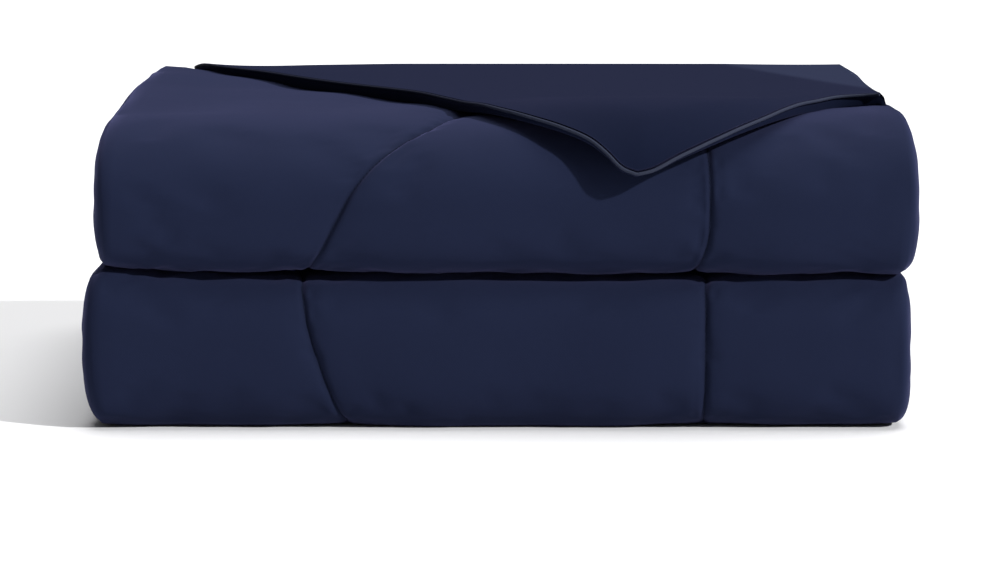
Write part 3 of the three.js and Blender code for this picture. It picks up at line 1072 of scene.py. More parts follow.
    def seam_lines(self) -> list[Array]:
        """Find where both seams run over the faces that show, once the stack is built.

        Returns:
            The points of each stitched stretch, in millimetres, in the frame.
        """
        shows = np.concatenate(([0], (~self._rests()).astype(int), [0]))
        changes = np.flatnonzero(np.diff(shows)).tolist()
        rise = np.pad(self.normal, ((0, 0), (1, 0))) * self.stitch_rise
        lines = []
        for seam in (self.curved, self.straight):
            column = np.argmin(np.abs(self.outer_x - seam[:, None]), axis=1)
            line = self.face[np.arange(len(column)), column] + rise
            lines += [line[start:end] for start, end in zip(changes[::2], changes[1::2])]
        return lines

    def _lobe(self, side: Side, out: Array, through: Array) -> Array:
        """Round off one end of every row.

        Args:
            side: Which end.
            out: How far out each point is.
            through: How far through the ply each point is, from the outer face.

        Returns:
            The points in the tidy stack.
        """
        lobes = self.lobes
        share = through[None, :]
        spread = share * lobes.ripple_through
        ripple = waves(self.along[:, None], spread, lobes.ripple_pitch, lobes.ripple_seed)
        reach = lobes.reach * out[None, :] - lobes.groove_at(side, through)[None, :]
        reach = reach + lobes.ripple * ripple * out[None, :] ** 2 * (share < 0.5)
        y, z = (mix(self.outer[:, axis, None], self.inner[:, axis, None], share) for axis in (0, 1))
        return np.stack((side.value * (self.panel_end + reach), y, z), axis=-1)

    def _inner_face(self) -> Array:
        """Lay out each row's inner face, from right to left, in the tidy stack."""
        x = np.linspace(self.panel_end, -self.panel_end, self.inner_steps + 1)[None, :]
        return np.stack(np.broadcast_arrays(x, self.inner[:, :1], self.inner[:, 1:]), axis=-1)


# The loose corner


@dataclass
class TopFace:
    """The outer face from the upper roll's front, over the top, to the bottom of the back.

    back is the distance along the cloth behind the line where the top bends down in front.
    """

    section: Section
    steep_share: float = 0.98
    steep_slope: float = 5.0
    least_root: float = 0.001

    def __post_init__(self) -> None:
        """Draw the face's line and measure it from the top of the front bend."""
        front = np.vstack((self.section.upper_tuck(), self.section.upper_crest()[1:]))
        self.path = np.vstack((front, self.section.back_bend()))
        self.normal = outward(self.path)
        along = lengths_along(self.path)
        self.back = along - along[len(front) - 1]

    def over(self, x: Array, back: Array, height: Array) -> Array:
        """Place points at a height over the face.

        Args:
            x: Their flat x.
            back: Their flat distance back.
            height: Their height over the face.

        Returns:
            The points in the tidy stack.
        """
        sizes = self.section.sizes
        columns = (*self.path.T, *self.normal.T)
        y, z, out_y, out_z = (np.interp(back, self.back, column) for column in columns)
        from_end = sizes.width / 2.0 - np.abs(x)
        share = clamp01(1.0 - from_end / sizes.end_run)
        root = np.sqrt(np.maximum(self.least_root**2, 1.0 - share**2))
        slope = np.where(share < self.steep_share, share / root, self.steep_slope)
        stretch = np.hypot(1.0, slope)
        out = height / stretch - sizes.end_inset * (1.0 - root)
        aside = np.sign(x) * slope * height / stretch
        return np.stack((x + aside, y + out_y * out, z + out_z * out), axis=-1)


@dataclass
class LooseCorner:
    """The corner of the cloth that lies loose on top, with its free edges piped.

    A thinning row says from which share of one edge the corner thins, how far in from
    the other edge, and how much. A rim's rows are distances from the tip and heights,
    the lip's rows are distances from the tip, to the left negative, and how far out.
    """

    face: TopFace
    settling: Settling
    shift: Array
    left_edge: Rows = (
        (89, -101), (79, -98), (70, -91), (58, -82), (37, -70), (16, -56), (-4, -35),
        (-23, 2), (-43, 48), (-64, 98), (-123, 188), (-182, 290), (-232, 382), (-256, 434),
        (-268, 458),
    )
    right_edge: Rows = (
        (89, -101), (100, -99), (115, -93), (134, -85), (153, -75), (175, -59), (194, -38),
        (216, 0), (238, 32), (257, 34), (275, 26),
    )
    far_corner: Pair = (287, 462)
    root_from: Pair = (0.96, 0.98)
    root_sink: float = 8.0
    root_sink_rate: float = 1.6
    root_stand: float = -1.0
    far_thinning: Triple = (0.7, 0.3, 0.45)
    right_thinning: Triple = (0.8, 0.35, 0.15)
    left_rim: Rows = (
        (0.0, 6.0), (110.0, 6.0), (155.0, 7.5), (260.0, 9.0), (480.0, 9.0), (590.0, 7.5),
        (676.0, 5.5),
    )
    right_rim: Rows = (
        (0.0, 6.0), (96.0, 6.5), (125.0, 8.0), (169.0, 9.0), (207.0, 9.5), (246.0, 10.5),
    )
    thickness: float = 10.0
    swell_run: float = 45.0
    tip_lift: float = 14.0
    tip_lift_run: float = 180.0
    steps: tuple[int, int] = (150, 96)
    crowding: Pair = (1.35, 1.25)
    turn_from: Pair = (168.0, 245.0)
    turn_to: Pair = (283.0, -150.0)
    turn_run: float = 14.0
    lip_x: Rows = ((-560.0, 0.0), (-30.0, -1.5), (0.0, -1.0), (30.0, 1.0), (230.0, 0.0))
    lip_back: Rows = ((-560.0, 0.0), (-30.0, -1.5), (0.0, -2.0), (30.0, -1.5), (230.0, -1.0))
    rim_profile: Rows = (
        (0.35, 0.72), (0.72, 0.5), (0.95, 0.3), (1.0, 0.12), (0.9, 0.0), (0.5, 0.0),
    )
    rim_sink: float = 1.0
    rim_cell: float = 2.0

    def __post_init__(self) -> None:
        """Draw and measure both free edges."""
        self.left = catmull_rom(np.array(self.left_edge, float))
        self.right = catmull_rom(np.array(self.right_edge, float))
        self.left_along = lengths_along(self.left)
        self.right_along = lengths_along(self.right)

    @property
    def left_length(self) -> float:
        """How long the left edge is."""
        return float(self.left_along[-1])

    @property
    def right_length(self) -> float:
        """How long the right edge is."""
        return float(self.right_along[-1])

    def place(self, p: Array, q: Array) -> Array:
        """Find the flat place at shares along both edges.

        Args:
            p: Share along the left edge, from the tip.
            q: Share along the right edge, from the tip.

        Returns:
            x and back along the last axis.
        """
        found = []
        for axis, far in enumerate(self.far_corner):
            edge_left, edge_right = self.left[:, axis], self.right[:, axis]
            left = np.interp(p * self.left_length, self.left_along, edge_left)
            right = np.interp(q * self.right_length, self.right_along, edge_right)
            found.append(
                mix(left, mix(edge_right[-1], far, p), q)
                + mix(right, mix(edge_left[-1], far, q), p)
                - mix(mix(edge_left[0], edge_right[-1], q), mix(edge_left[-1], far, q), p)
            )
        return np.stack(found, axis=-1)

    def heights(self, p: Array, q: Array) -> tuple[Array, Array]:
        """Work out how far both faces stand over the stack.

        Args:
            p: Share along the left edge.
            q: Share along the right edge.

        Returns:
            The under face's and the upper face's height.
        """
        gap = self.face.section.sizes.ply_gap
        on_left, on_right = p * self.left_length, q * self.right_length
        left_root, right_root = (
            smooth((share - start) / (1.0 - start)) for share, start in zip((p, q), self.root_from)
        )
        root = np.maximum(left_root, right_root)
        lift = self.tip_lift * (1.0 - smooth(np.hypot(on_left, on_right) / self.tip_lift_run))
        left_rim = read_table(self.left_rim, on_left)
        rim = np.where(on_left > on_right, left_rim, read_table(self.right_rim, on_right))
        swell = smooth(np.minimum(on_left, on_right) / self.swell_run)
        thick = mix(rim, self.thickness, swell)
        thick = thick * self._kept(p, q, self.far_thinning) * self._kept(q, p, self.right_thinning)
        under = mix(gap + lift, -self.root_sink, smooth(root * self.root_sink_rate))
        upper = mix(gap + lift + thick, self.root_stand, root)
        return under, upper

    @staticmethod
    def _kept(along: Array, across: Array, thinning: Triple) -> Array:
        """Find the share of its thickness that the corner keeps where it thins out.

        Args:
            along: Share along the edge that it thins along.
            across: Share along the other edge.
            thinning: Where the thinning starts, how far in it reaches, and its share.

        Returns:
            The share that is kept.
        """
        start, reach, share = thinning
        started = smooth((along - start) / (1.0 - start))
        return 1.0 - share * started * (1.0 - smooth(across / reach))

    def _grid(self) -> tuple[Array, Array]:
        """Space the corner's grid closest along its free edges.

        Returns:
            The shares p and q of each grid point.
        """
        shares = [
            np.linspace(0.0, 1.0, steps + 1) ** power
            for steps, power in zip(self.steps, self.crowding)
        ]
        return np.meshgrid(*shares, indexing="ij")

    def settled(self, flat: Array, height: Array) -> Array:
        """Place flat points, x and back, at a height over the settled stack."""
        tidy = self.face.over(flat[..., 0], flat[..., 1], height)
        return self.settling.apply(tidy, self.face.section.sizes) + self.shift

    def build(self) -> bpy.types.Object:
        """Make the loose corner's mesh.

        Returns:
            The piece.
        """
        p, q = self._grid()
        flat = self.place(p, q)
        under, upper = self.heights(p, q)
        faces = grid_faces(*p.shape, closed=False)
        uv = grid_uv(flat[..., 0], flat[..., 1])
        top_faces, top_uv = turned_over(faces, uv)
        below_faces = [[corner + p.size for corner in face] for face in faces]
        rim_points, rim_faces, rim_uv = self._rim(p, q)
        sides = [self.settled(flat, height).reshape(-1, 3) for height in (upper, under)]
        points = np.vstack((*sides, rim_points))
        uv = np.vstack((top_uv, uv, rim_uv))
        piece = new_piece("loose_corner", points, top_faces + below_faces + rim_faces, uv)
        add_mask(piece, "turned", self._turned(points - self.shift))
        # Painted shade: the rim's points get the seam mask, so the material darkens the rim under the
        # piping.
        add_mask(piece, "seam", np.arange(len(points)) >= 2 * p.size)
        return piece

    def _turned(self, points: Array) -> Array:
        """Find where the corner shows the cloth's face again, past the line it turns along.

        Args:
            points: Its points in the settled stack.

        Returns:
            0 on the turned side, 1 past the line.
        """
        (x0, y0), (x1, y1) = self.turn_from, self.turn_to
        past = (points[:, 1] - y0) * (x1 - x0) - (points[:, 0] - x0) * (y1 - y0)
        past /= math.hypot(x1 - x0, y1 - y0)
        return smooth(past / self.turn_run + 0.5)

    def _rim(self, p: Array, q: Array) -> tuple[Array, Faces, Array]:
        """Close the corner's rim, with the lower shell standing out under the piping.

        Args:
            p: The grid's shares along the left edge.
            q: The grid's shares along the right edge.

        Returns:
            The rim's own points, its faces, and the flat places of their corners.
        """
        rows, columns = p.shape
        walk = [(0, column) for column in range(columns)]
        walk += [(row, columns - 1) for row in range(1, rows)]
        walk += [(rows - 1, column) for column in range(columns - 2, -1, -1)]
        walk += [(row, 0) for row in range(rows - 2, 0, -1)]
        i, j = np.array(walk).T
        p_here, q_here = p[i, j], q[i, j]
        signed = q_here * self.right_length - p_here * self.left_length
        free = (i == 0) | (j == 0)
        lips = [read_table(table, signed) * free for table in (self.lip_x, self.lip_back)]
        lip = np.column_stack(lips)
        flat = self.place(p_here, q_here)
        low, high = self.heights(p_here, q_here)
        high = high - self.rim_sink * free
        grid_ring = i * columns + j
        first = 2 * p.size + np.arange(len(walk))
        added = [first + len(walk) * ring for ring in range(len(self.rim_profile))]
        rings = [grid_ring, *added, grid_ring + p.size]
        points = [self.settled(flat + lip * out, mix(low, high, up)) for out, up in self.rim_profile]
        faces, uv = [], []
        cell = np.array(((0.0, 0.0), (1.0, 0.0), (1.0, 1.0), (0.0, 1.0))) * self.rim_cell
        corner = np.column_stack((np.abs(signed), np.zeros_like(signed)))
        for here, there in zip(rings[:-1], rings[1:]):
            corners = (np.roll(here, -1), here, there, np.roll(there, -1))
            faces += np.column_stack(corners).tolist()
            uv.append((corner[:, None] + cell).reshape(-1, 2))
        return np.vstack(points), faces, np.vstack(uv)


@dataclass
class Piping:
    """The round piping sewn along the loose corner's free edges.

    It stands seat out from the edge and below_face under the corner's upper face, and its
    colour carries painted shade along the left edge from shade_from the tip on. stops are
    its ends' shares of the left and the right edge.
    """

    corner: LooseCorner
    radius: float = 1.15
    seat: float = 0.5
    sides: int = 14
    rings: int = 420
    below_face: float = 1.2
    shade_from: float = 80.0
    shade_run: float = 120.0
    lowest: float = 3.0
    pitch: float = 3.0
    stops: Pair = (0.95, 0.975)

    def centres(self) -> Array:
        """Lay the piping's centre line, from the back left to the tip and to the right.

        Returns:
            The points in the frame, in millimetres.
        """
        corner = self.corner
        left = np.linspace(self.stops[0], 0.0, round(corner.left_length / self.pitch) + 1)
        right = np.linspace(0.0, self.stops[1], round(corner.right_length / self.pitch) + 1)[1:]
        p = np.concatenate((left, np.zeros_like(right)))
        q = np.concatenate((np.zeros_like(left), right))
        flat = corner.place(p, q)
        height = np.maximum(self.lowest, corner.heights(p, q)[1] - self.below_face)
        run = np.gradient(flat, axis=0)
        run /= np.linalg.norm(run, axis=1)[:, None]
        aside = np.column_stack((run[:, 1], -run[:, 0])) * (self.radius + self.seat)
        return corner.settled(flat + aside, height)

    def build(self) -> bpy.types.Object:
        """Make the piping's mesh.

        Returns:
            The piece.
        """
        route = self.centres()
        centres = resample(route, self.rings)
        points = self._tube(centres)
        along = lengths_along(centres)
        around = np.linspace(0.0, 2.0 * math.pi * self.radius, self.sides + 1)
        u, v = np.meshgrid(along, around, indexing="ij")
        faces, uv = turned_over(grid_faces(self.rings, self.sides, closed=True), grid_uv(u, v))
        end = list(range(self.sides))
        last = (self.rings - 1) * self.sides
        faces += [end[::-1], [corner + last for corner in end]]
        uv = np.vstack((uv, np.zeros((2 * self.sides, 2))))
        piece = new_piece("corner_piping", points, faces, uv)
        corner_tip = route[np.argmin(route[:, 1])]
        tip = np.argmin(np.linalg.norm(centres - corner_tip, axis=1))
        from_tip = np.where(np.arange(self.rings) < tip, along[tip] - along, 0.0)
        shade = smooth((from_tip - self.shade_from) / self.shade_run)
        # Painted shade: the seam mask darkens the piping along the left arm.
        add_mask(piece, "seam", np.repeat(shade, self.sides))
        return piece

    def _tube(self, centres: Array) -> Array:
        """Lay a ring of points round each place of a centre line, without a twist.

        Args:
            centres: The centre line's places.

        Returns:
            The points, one ring after another.
        """
        tangent = np.gradient(centres, axis=0)
        tangent /= np.linalg.norm(tangent, axis=1)[:, None]
        normal = np.array((0.0, 0.0, 1.0))
        turn = np.linspace(0.0, 2.0 * math.pi, self.sides, endpoint=False)
        rings = []
        for centre, along in zip(centres, tangent):
            normal = normal - along * float(normal @ along)
            normal = normal / np.linalg.norm(normal)
            aside = np.cross(along, normal)
            ring = np.outer(np.cos(turn), normal) + np.outer(np.sin(turn), aside)
            rings.append(centre + self.radius * ring)
        return np.vstack(rings)


# Stitches


@dataclass(frozen=True)
class Stitches:
    """Lockstitches laid along the seams by Geometry Nodes, in millimetres."""

    pitch: float = 3.4
    length: float = 2.7
    width: float = 0.6
    segments: int = 6
    rings: int = 5

    def build(self, name: str, lines: list[Array], thread: bpy.types.Material) -> bpy.types.Object:
        """Lay stitches along lines.

        Args:
            name: The piece's name.
            lines: The lines' points, in millimetres.
            thread: The thread's material.

        Returns:
            The piece, a plain mesh.
        """
        starts = np.cumsum([0] + [len(line) for line in lines]).tolist()
        edges = [(k, k + 1) for start, end in zip(starts, starts[1:]) for k in range(start, end - 1)]
        guide_mesh = bpy.data.meshes.new("seam_guides")
        guide_mesh.from_pydata((np.concatenate(lines) * MM).tolist(), edges, [])
        guide = add_object("seam_guides", guide_mesh)
        modifier = guide.modifiers.new("stitches", "NODES")
        modifier.node_group = self._tree()
        values = {
            "Pitch": self.pitch * MM,
            "Length": self.length * MM,
            "Width": self.width * MM,
            "Thread": thread,
        }
        for item in modifier.node_group.interface.items_tree:
            if item.in_out == "INPUT" and item.name in values:
                modifier[item.identifier] = values[item.name]
        bpy.context.view_layer.update()
        evaluated = guide.evaluated_get(bpy.context.evaluated_depsgraph_get())
        mesh = bpy.data.meshes.new_from_object(evaluated)
        mesh.name = name
        guide.modifiers.remove(modifier)
        bpy.data.objects.remove(guide)
        bpy.data.meshes.remove(guide_mesh)
        mesh.polygons.foreach_set("use_smooth", np.ones(len(mesh.polygons), bool))
        return add_object(name, mesh)

    def _tree(self) -> bpy.types.NodeTree:
        """Build the node tree: points along the lines, one rounded stitch on each.

        Returns:
            The tree.
        """
        tree = bpy.data.node_groups.new("stitches_along_seams", "GeometryNodeTree")
        for name, in_out, kind in (
            ("Geometry", "INPUT", "Geometry"),
            ("Pitch", "INPUT", "Float"),
            ("Length", "INPUT", "Float"),
            ("Width", "INPUT", "Float"),
            ("Thread", "INPUT", "Material"),
            ("Geometry", "OUTPUT", "Geometry"),
        ):
            tree.interface.new_socket(name, in_out=in_out, socket_type="NodeSocket" + kind)
        given, result, curve, spaced, tangent, turn, bead, size, placed, real, dressed = (
            tree.nodes.new(kind)
            for kind in (
                "NodeGroupInput",
                "NodeGroupOutput",
                "GeometryNodeMeshToCurve",
                "GeometryNodeResampleCurve",
                "GeometryNodeInputTangent",
                "FunctionNodeAlignRotationToVector",
                "GeometryNodeMeshUVSphere",
                "ShaderNodeCombineXYZ",
                "GeometryNodeInstanceOnPoints",
                "GeometryNodeRealizeInstances",
                "GeometryNodeSetMaterial",
            )
        )
        spaced.mode = "LENGTH"
        turn.axis = "X"
        bead.inputs["Segments"].default_value = self.segments
        bead.inputs["Rings"].default_value = self.rings
        bead.inputs["Radius"].default_value = 0.5
        for start, output, end, socket in (
            (given, "Geometry", curve, "Mesh"),
            (curve, "Curve", spaced, "Curve"),
            (given, "Pitch", spaced, "Length"),
            (tangent, "Tangent", turn, "Vector"),
            (given, "Length", size, "X"),
            (given, "Width", size, "Y"),
            (given, "Width", size, "Z"),
            (spaced, "Curve", placed, "Points"),
            (bead, "Mesh", placed, "Instance"),
            (turn, "Rotation", placed, "Rotation"),
            (size, "Vector", placed, "Scale"),
            (placed, "Instances", real, "Geometry"),
            (real, "Geometry", dressed, "Geometry"),
            (given, "Thread", dressed, "Material"),
            (dressed, "Geometry", result, "Geometry"),
        ):
            tree.links.new(start.outputs[output], end.inputs[socket])
        return tree


# Finishes


class ShaderGroup:
    """A shader node group under construction."""

    def __init__(self, name: str, inputs: dict[str, str], outputs: dict[str, str]) -> None:
        """Make the group with its sockets.

        Args:
            name: The group's name.
            inputs: Each input's name and kind.
            outputs: Each output's name and kind.
        """
        self.tree = bpy.data.node_groups.new(name, "ShaderNodeTree")
        for in_out, sockets in (("INPUT", inputs), ("OUTPUT", outputs)):
            for socket, kind in sockets.items():
                self.tree.interface.new_socket(socket, in_out=in_out, socket_type="NodeSocket" + kind)
        self.given = self.tree.nodes.new("NodeGroupInput").outputs
        self.result = self.tree.nodes.new("NodeGroupOutput").inputs

    def math(self, operation: str, *values: object) -> bpy.types.NodeSocket:
        """Add a math node.

        Args:
            operation: What it does.
            values: Its inputs, sockets or numbers.

        Returns:
            Its output.
        """
        node = self.tree.nodes.new("ShaderNodeMath")
        node.operation = operation
        for socket, value in zip(node.inputs, values):
            self.feed(socket, value)
        return node.outputs[0]

    def feed(self, socket: bpy.types.NodeSocket, value: object) -> None:
        """Link a socket to another one, or set its value.

        Args:
            socket: The input.
            value: The output that it takes its value from, or the value.
        """
        if isinstance(value, bpy.types.NodeSocket):
            self.tree.links.new(value, socket)
        else:
            socket.default_value = value

    def noise(self, place: bpy.types.NodeSocket, scale: float, detail: float) -> bpy.types.NodeSocket:
        """Add a noise texture.

        Args:
            place: The coordinates.
            scale: How many lumps a metre.
            detail: How many finer layers it has.

        Returns:
            Its value, about 0.5 in the middle.
        """
        node = self.tree.nodes.new("ShaderNodeTexNoise")
        self.feed(node.inputs["Vector"], place)
        node.inputs["Scale"].default_value = scale
        node.inputs["Detail"].default_value = detail
        return node.outputs["Fac"]


@dataclass(frozen=True)
class Weave:
    """Woven threads: the painted shade in the gaps between them, and how much lighter a thread's top
    is painted.
    """

    gap_shade: float = 0.92
    thread_shade: float = 0.16

    def group(self) -> bpy.types.NodeTree:
        """Build the threads' height, and the painted shade that darkens the gaps between them.

        Returns:
            The node group.
        """
        group = ShaderGroup(
            "woven_threads",
            {"Place": "Vector", "Threads": "Float", "Slant": "Float"},
            {"Height": "Float", "Shade": "Float"},
        )
        split = group.tree.nodes.new("ShaderNodeSeparateXYZ")
        group.feed(split.inputs[0], group.given["Place"])
        x, y = split.outputs["X"], split.outputs["Y"]
        across = group.math("MULTIPLY_ADD", x, group.given["Slant"], y)
        turns = (group.math("MULTIPLY", way, group.given["Threads"]) for way in (x, across))
        rows = [group.math("SINE", group.math("MULTIPLY", turn, 2.0 * math.pi)) for turn in turns]
        height = group.math("MULTIPLY_ADD", group.math("MULTIPLY", *rows), 0.5, 0.5)
        shade = group.math("MULTIPLY_ADD", height, self.thread_shade, self.gap_shade)
        group.feed(group.result["Height"], height)
        group.feed(group.result["Shade"], shade)
        return group.tree


@dataclass(frozen=True)
class WearAndChannelShade:
    """The uneven tone of handled cloth, and painted shade where the seam mask is high.

    Broad and fine lumps each have a number a metre, finer layers and a share of the tone.
    """

    broad: Triple = (9.0, 3.0, 0.7)
    fine: Triple = (160.0, 4.0, 0.3)
    channel_shade_power: float = 3.0
    roughness_spread: float = 0.12

    def group(self) -> bpy.types.NodeTree:
        """Build the soft mottling, and the painted shade where the seam mask is high, such as in the
        sewn channels.

        Returns:
            The node group.
        """
        group = ShaderGroup(
            "handled_tone_and_shade",
            {"Place": "Vector", **dict.fromkeys(("Seam", "Mottle", "ChannelShade", "Roughness"), "Float")},
            {"ToneAndShade": "Float", "Roughness": "Float"},
        )
        given = group.given
        broad, fine = (
            group.noise(given["Place"], lumps, layers) for lumps, layers, _ in (self.broad, self.fine)
        )
        broad_tone = group.math("MULTIPLY", broad, self.broad[2])
        lumps = group.math("ADD", broad_tone, group.math("MULTIPLY", fine, self.fine[2]))
        centred = group.math("SUBTRACT", lumps, 0.5)
        mottle = group.math("MULTIPLY_ADD", centred, given["Mottle"], 1.0)
        # Painted shade: darken the colour where the seam mask is high.
        deep = group.math("POWER", given["Seam"], self.channel_shade_power)
        dark = group.math("SUBTRACT", 1.0, group.math("MULTIPLY", deep, given["ChannelShade"]))
        group.feed(group.result["ToneAndShade"], group.math("MULTIPLY", mottle, dark))
        uneven = group.math("SUBTRACT", fine, 0.5)
        rough = group.math("MULTIPLY_ADD", uneven, self.roughness_spread, given["Roughness"])
        group.feed(group.result["Roughness"], rough)
        return group.tree


@dataclass(frozen=True)
class Cloth:
    """A smooth, cool woven cloth, with the cloth's other side where a piece is turned over."""

    name: str
    colour: Triple
    roughness: float
    sheen: float
    gloss: float = 0.02
    sheen_roughness: float = 0.45
    sheen_tint: Triple = (0.45, 0.45, 1.0)
    threads: float = 950.0
    slant: float = 0.0
    mottle: float = 0.14
    # How strongly the seam mask darkens the colour as painted shade.
    channel: float = 0.35
    bump: float = 0.35
    bump_height: float = 0.0002
    other_side_and_sheen: Triple | None = None

    def material(self, weave: bpy.types.NodeTree, wear_and_shade: bpy.types.NodeTree) -> bpy.types.Material:
        """Make the cloth's material.

        Args:
            weave: The group of woven threads.
            wear_and_shade: The group of handled tone and painted shade.

        Returns:
            The material.
        """
        material = bpy.data.materials.new(self.name)
        material.use_nodes = True
        tree = material.node_tree
        shader = tree.nodes["Principled BSDF"]
        threads = self._group(tree, weave, {"Threads": self.threads, "Slant": self.slant})
        tones = {"Mottle": self.mottle, "ChannelShade": self.channel, "Roughness": self.roughness}
        tone = self._group(tree, wear_and_shade, tones)
        flat, place, seam, both, shaded, bump = (
            tree.nodes.new("ShaderNode" + kind)
            for kind in ("UVMap", "TexCoord", "Attribute", "Math", "VectorMath", "Bump")
        )
        flat.uv_map = "cloth"
        seam.attribute_name = "seam"
        both.operation = "MULTIPLY"
        shaded.operation = "SCALE"
        for socket, value in (
            (shader.inputs["Specular IOR Level"], self.gloss),
            (shader.inputs["Sheen Weight"], self.sheen),
            (shader.inputs["Sheen Roughness"], self.sheen_roughness),
            (shader.inputs["Sheen Tint"], (*self.sheen_tint, 1.0)),
            (bump.inputs["Strength"], self.bump),
            (bump.inputs["Distance"], self.bump_height),
        ):
            socket.default_value = value
        self._colour(tree, shaded.inputs[0])
        for output, socket in (
            (flat.outputs["UV"], threads.inputs["Place"]),
            (place.outputs["Object"], tone.inputs["Place"]),
            # The seam mask says where shade is painted into the tone.
            (seam.outputs["Fac"], tone.inputs["Seam"]),
            (threads.outputs["Shade"], both.inputs[0]),
            (tone.outputs["ToneAndShade"], both.inputs[1]),
            (both.outputs[0], shaded.inputs["Scale"]),
            (shaded.outputs[0], shader.inputs["Base Color"]),
            (tone.outputs["Roughness"], shader.inputs["Roughness"]),
            (threads.outputs["Height"], bump.inputs["Height"]),
            (bump.outputs["Normal"], shader.inputs["Normal"]),
        ):
            tree.links.new(output, socket)
        return material

    def _colour(self, tree: bpy.types.NodeTree, socket: bpy.types.NodeSocket) -> None:
        """Set the cloth's colour, or blend both sides by the turned mask.

        Args:
            tree: The material's nodes.
            socket: Where the colour goes.
        """
        if self.other_side_and_sheen is None:
            socket.default_value = self.colour
            return
        turned = tree.nodes.new("ShaderNodeAttribute")
        turned.attribute_name = "turned"
        blend = tree.nodes.new("ShaderNodeMix")
        blend.data_type = "VECTOR"
        vectors = (one for one in blend.inputs if one.type == "VECTOR" and one.name in ("A", "B"))
        first, second = vectors
        first.default_value = self.colour
        second.default_value = self.other_side_and_sheen
        tree.links.new(turned.outputs["Fac"], blend.inputs["Factor"])
        found = next(one for one in blend.outputs if one.type == "VECTOR")
        tree.links.new(found, socket)

    @staticmethod
    def _group(
        tree: bpy.types.NodeTree, group: bpy.types.NodeTree, values: dict[str, float]
    ) -> bpy.types.Node:
        """Place a node group with its own values.

        Args:
            tree: The material's nodes.
            group: The group.
            values: Each named input's value.

        Returns:
            The group's node.
        """
        node = tree.nodes.new("ShaderNodeGroup")
        node.node_tree = group
        for name, value in values.items():
            node.inputs[name].default_value = value
        return node


NAVY = Cloth("navy_cloth", colour=(0.0106, 0.0147, 0.0362), roughness=0.75, sheen=0.13)
NAVY_TURNED = Cloth(
    "navy_cloth_turned",
    colour=(0.0054, 0.0080, 0.0216),
    roughness=0.85,
    sheen=0.06,
    mottle=0.2,
    # channel here sets the painted shade on the flap's rim.
    channel=0.1,
    # The face colour past the turn line is lighter than navy_cloth's: the cloth's face plus painted
    # sheen, since this material has less sheen.
    other_side_and_sheen=(0.0150, 0.020, 0.042),
)
LIGHT_NAVY = Cloth(
    "piping_cloth",
    colour=(0.027, 0.032, 0.052),
    roughness=0.6,
    sheen=0.04,
    threads=1100.0,
    slant=0.9,
    # channel here sets the painted shade along the piping's left arm.
    channel=0.5,
)
THREAD = Cloth(
    "navy_thread",
    colour=(0.009, 0.012, 0.026),
    roughness=0.6,
    sheen=0.02,
    threads=2500.0,
    channel=0.0,
)


# The studio


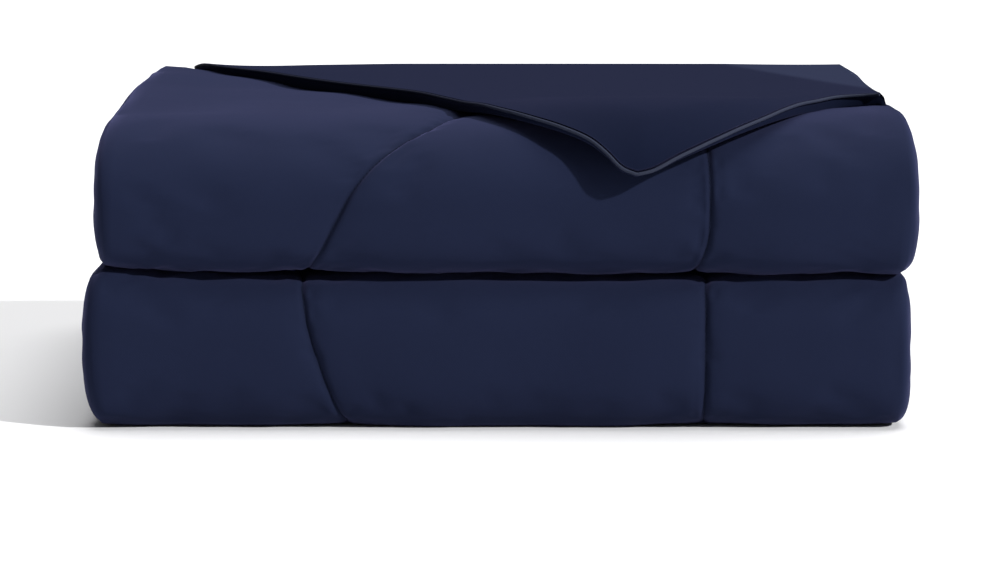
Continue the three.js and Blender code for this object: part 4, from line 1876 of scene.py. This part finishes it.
@dataclass(frozen=True)
class Studio:
    """The camera of the photograph, a pale floor and soft lights, in metres.

    A light has the direction that it comes from, how wide it looks from the stack, in
    degrees, and how strongly it lights a face square to it.
    """

    lens: float = 135.1
    sensor: float = 36.0
    height: float = 0.416
    distance: float = 2.560
    aside: float = -0.001
    pitch_down: float = 6.94
    floor_colour: Triple = (0.85, 0.85, 0.86)
    floor_roughness: float = 0.9
    floor_half: float = 12.0
    key: tuple[Triple, float, float] = ((2.2, -1.4, 1.6), 2.5, 3.7)
    overhead: tuple[Triple, float, float] = ((0.2, 0.35, 1.7), 50.0, 2.9)
    surround: float = 0.12

    def build(self, front: float) -> None:
        """Make the camera, floor and lights.

        Args:
            front: Where the front of the stack is, in metres.
        """
        data = bpy.data.cameras.new("camera")
        data.lens = self.lens
        data.sensor_width = self.sensor
        camera = add_object("camera", data)
        camera.location = (self.aside, front - self.distance, self.height)
        camera.rotation_euler = (math.radians(90.0 - self.pitch_down), 0.0, 0.0)
        scene = bpy.context.scene
        scene.camera = camera
        self._floor()
        self._light("key", *self.key)
        self._light("overhead", *self.overhead)
        scene.world = bpy.data.worlds.new("studio")
        scene.world.use_nodes = True
        background = scene.world.node_tree.nodes["Background"]
        background.inputs["Color"].default_value = (1.0, 1.0, 1.0, 1.0)
        background.inputs["Strength"].default_value = self.surround
        scene.view_settings.view_transform = "Standard"

    def _floor(self) -> None:
        """Make the pale floor."""
        mesh = bpy.data.meshes.new("floor")
        half = self.floor_half
        corners = [(-half, -half, 0), (half, -half, 0), (half, half, 0), (-half, half, 0)]
        mesh.from_pydata(corners, [], [[0, 1, 2, 3]])
        floor = add_object("floor", mesh)
        material = bpy.data.materials.new("floor")
        material.use_nodes = True
        shader = material.node_tree.nodes["Principled BSDF"]
        shader.inputs["Base Color"].default_value = (*self.floor_colour, 1.0)
        shader.inputs["Roughness"].default_value = self.floor_roughness
        floor.data.materials.append(material)

    @staticmethod
    def _light(name: str, towards: Triple, spread: float, strength: float) -> None:
        """Make one even, distant light.

        Args:
            name: The light's name.
            towards: The direction that it comes from.
            spread: How wide it looks from the stack, in degrees.
            strength: How strongly it lights a face square to it.
        """
        data = bpy.data.lights.new(name, "SUN")
        data.angle = math.radians(spread)
        data.energy = strength
        light = add_object(name, data)
        light.location = towards
        light.rotation_euler = (-Vector(towards)).to_track_quat("-Z", "Y").to_euler()


def main() -> None:
    logging.basicConfig(level=logging.INFO, format="%(name)s: %(message)s")
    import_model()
    section, settling, lobes = Section(), Settling(), Lobes()
    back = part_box(Node.COMFORTER.value)[1][1] / MM
    shift = np.array((0.0, back - section.sizes.back, 0.0))
    Studio().build((section.sizes.front + shift[1]) * MM)

    groups = Weave().group(), WearAndChannelShade().group()
    navy, turned_navy, light_navy, thread = (
        cloth.material(*groups) for cloth in (NAVY, NAVY_TURNED, LIGHT_NAVY, THREAD)
    )
    folded = FoldedStack(section, lobes, settling, shift)
    stack = folded.build()
    corner = LooseCorner(TopFace(section), settling, shift)
    flap = corner.build()
    piping = Piping(corner).build()
    stitches = Stitches().build("seam_stitches", folded.seam_lines(), thread)
    for piece, material in ((stack, navy), (flap, turned_navy), (piping, light_navy)):
        piece.data.materials.append(material)

    for piece, node, slot in (
        (stack, Node.COMFORTER, Slot.NAVY),
        (flap, Node.COMFORTER, Slot.NAVY),
        (piping, Node.PIPING, Slot.PIPING),
        (stitches, Node.COMFORTER, Slot.NAVY),
    ):
        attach(piece, "root")
        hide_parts(node.value)
        LOG.info("%s: %d faces", piece.name, len(piece.data.polygons))


if __name__ == "__main__":
    main()
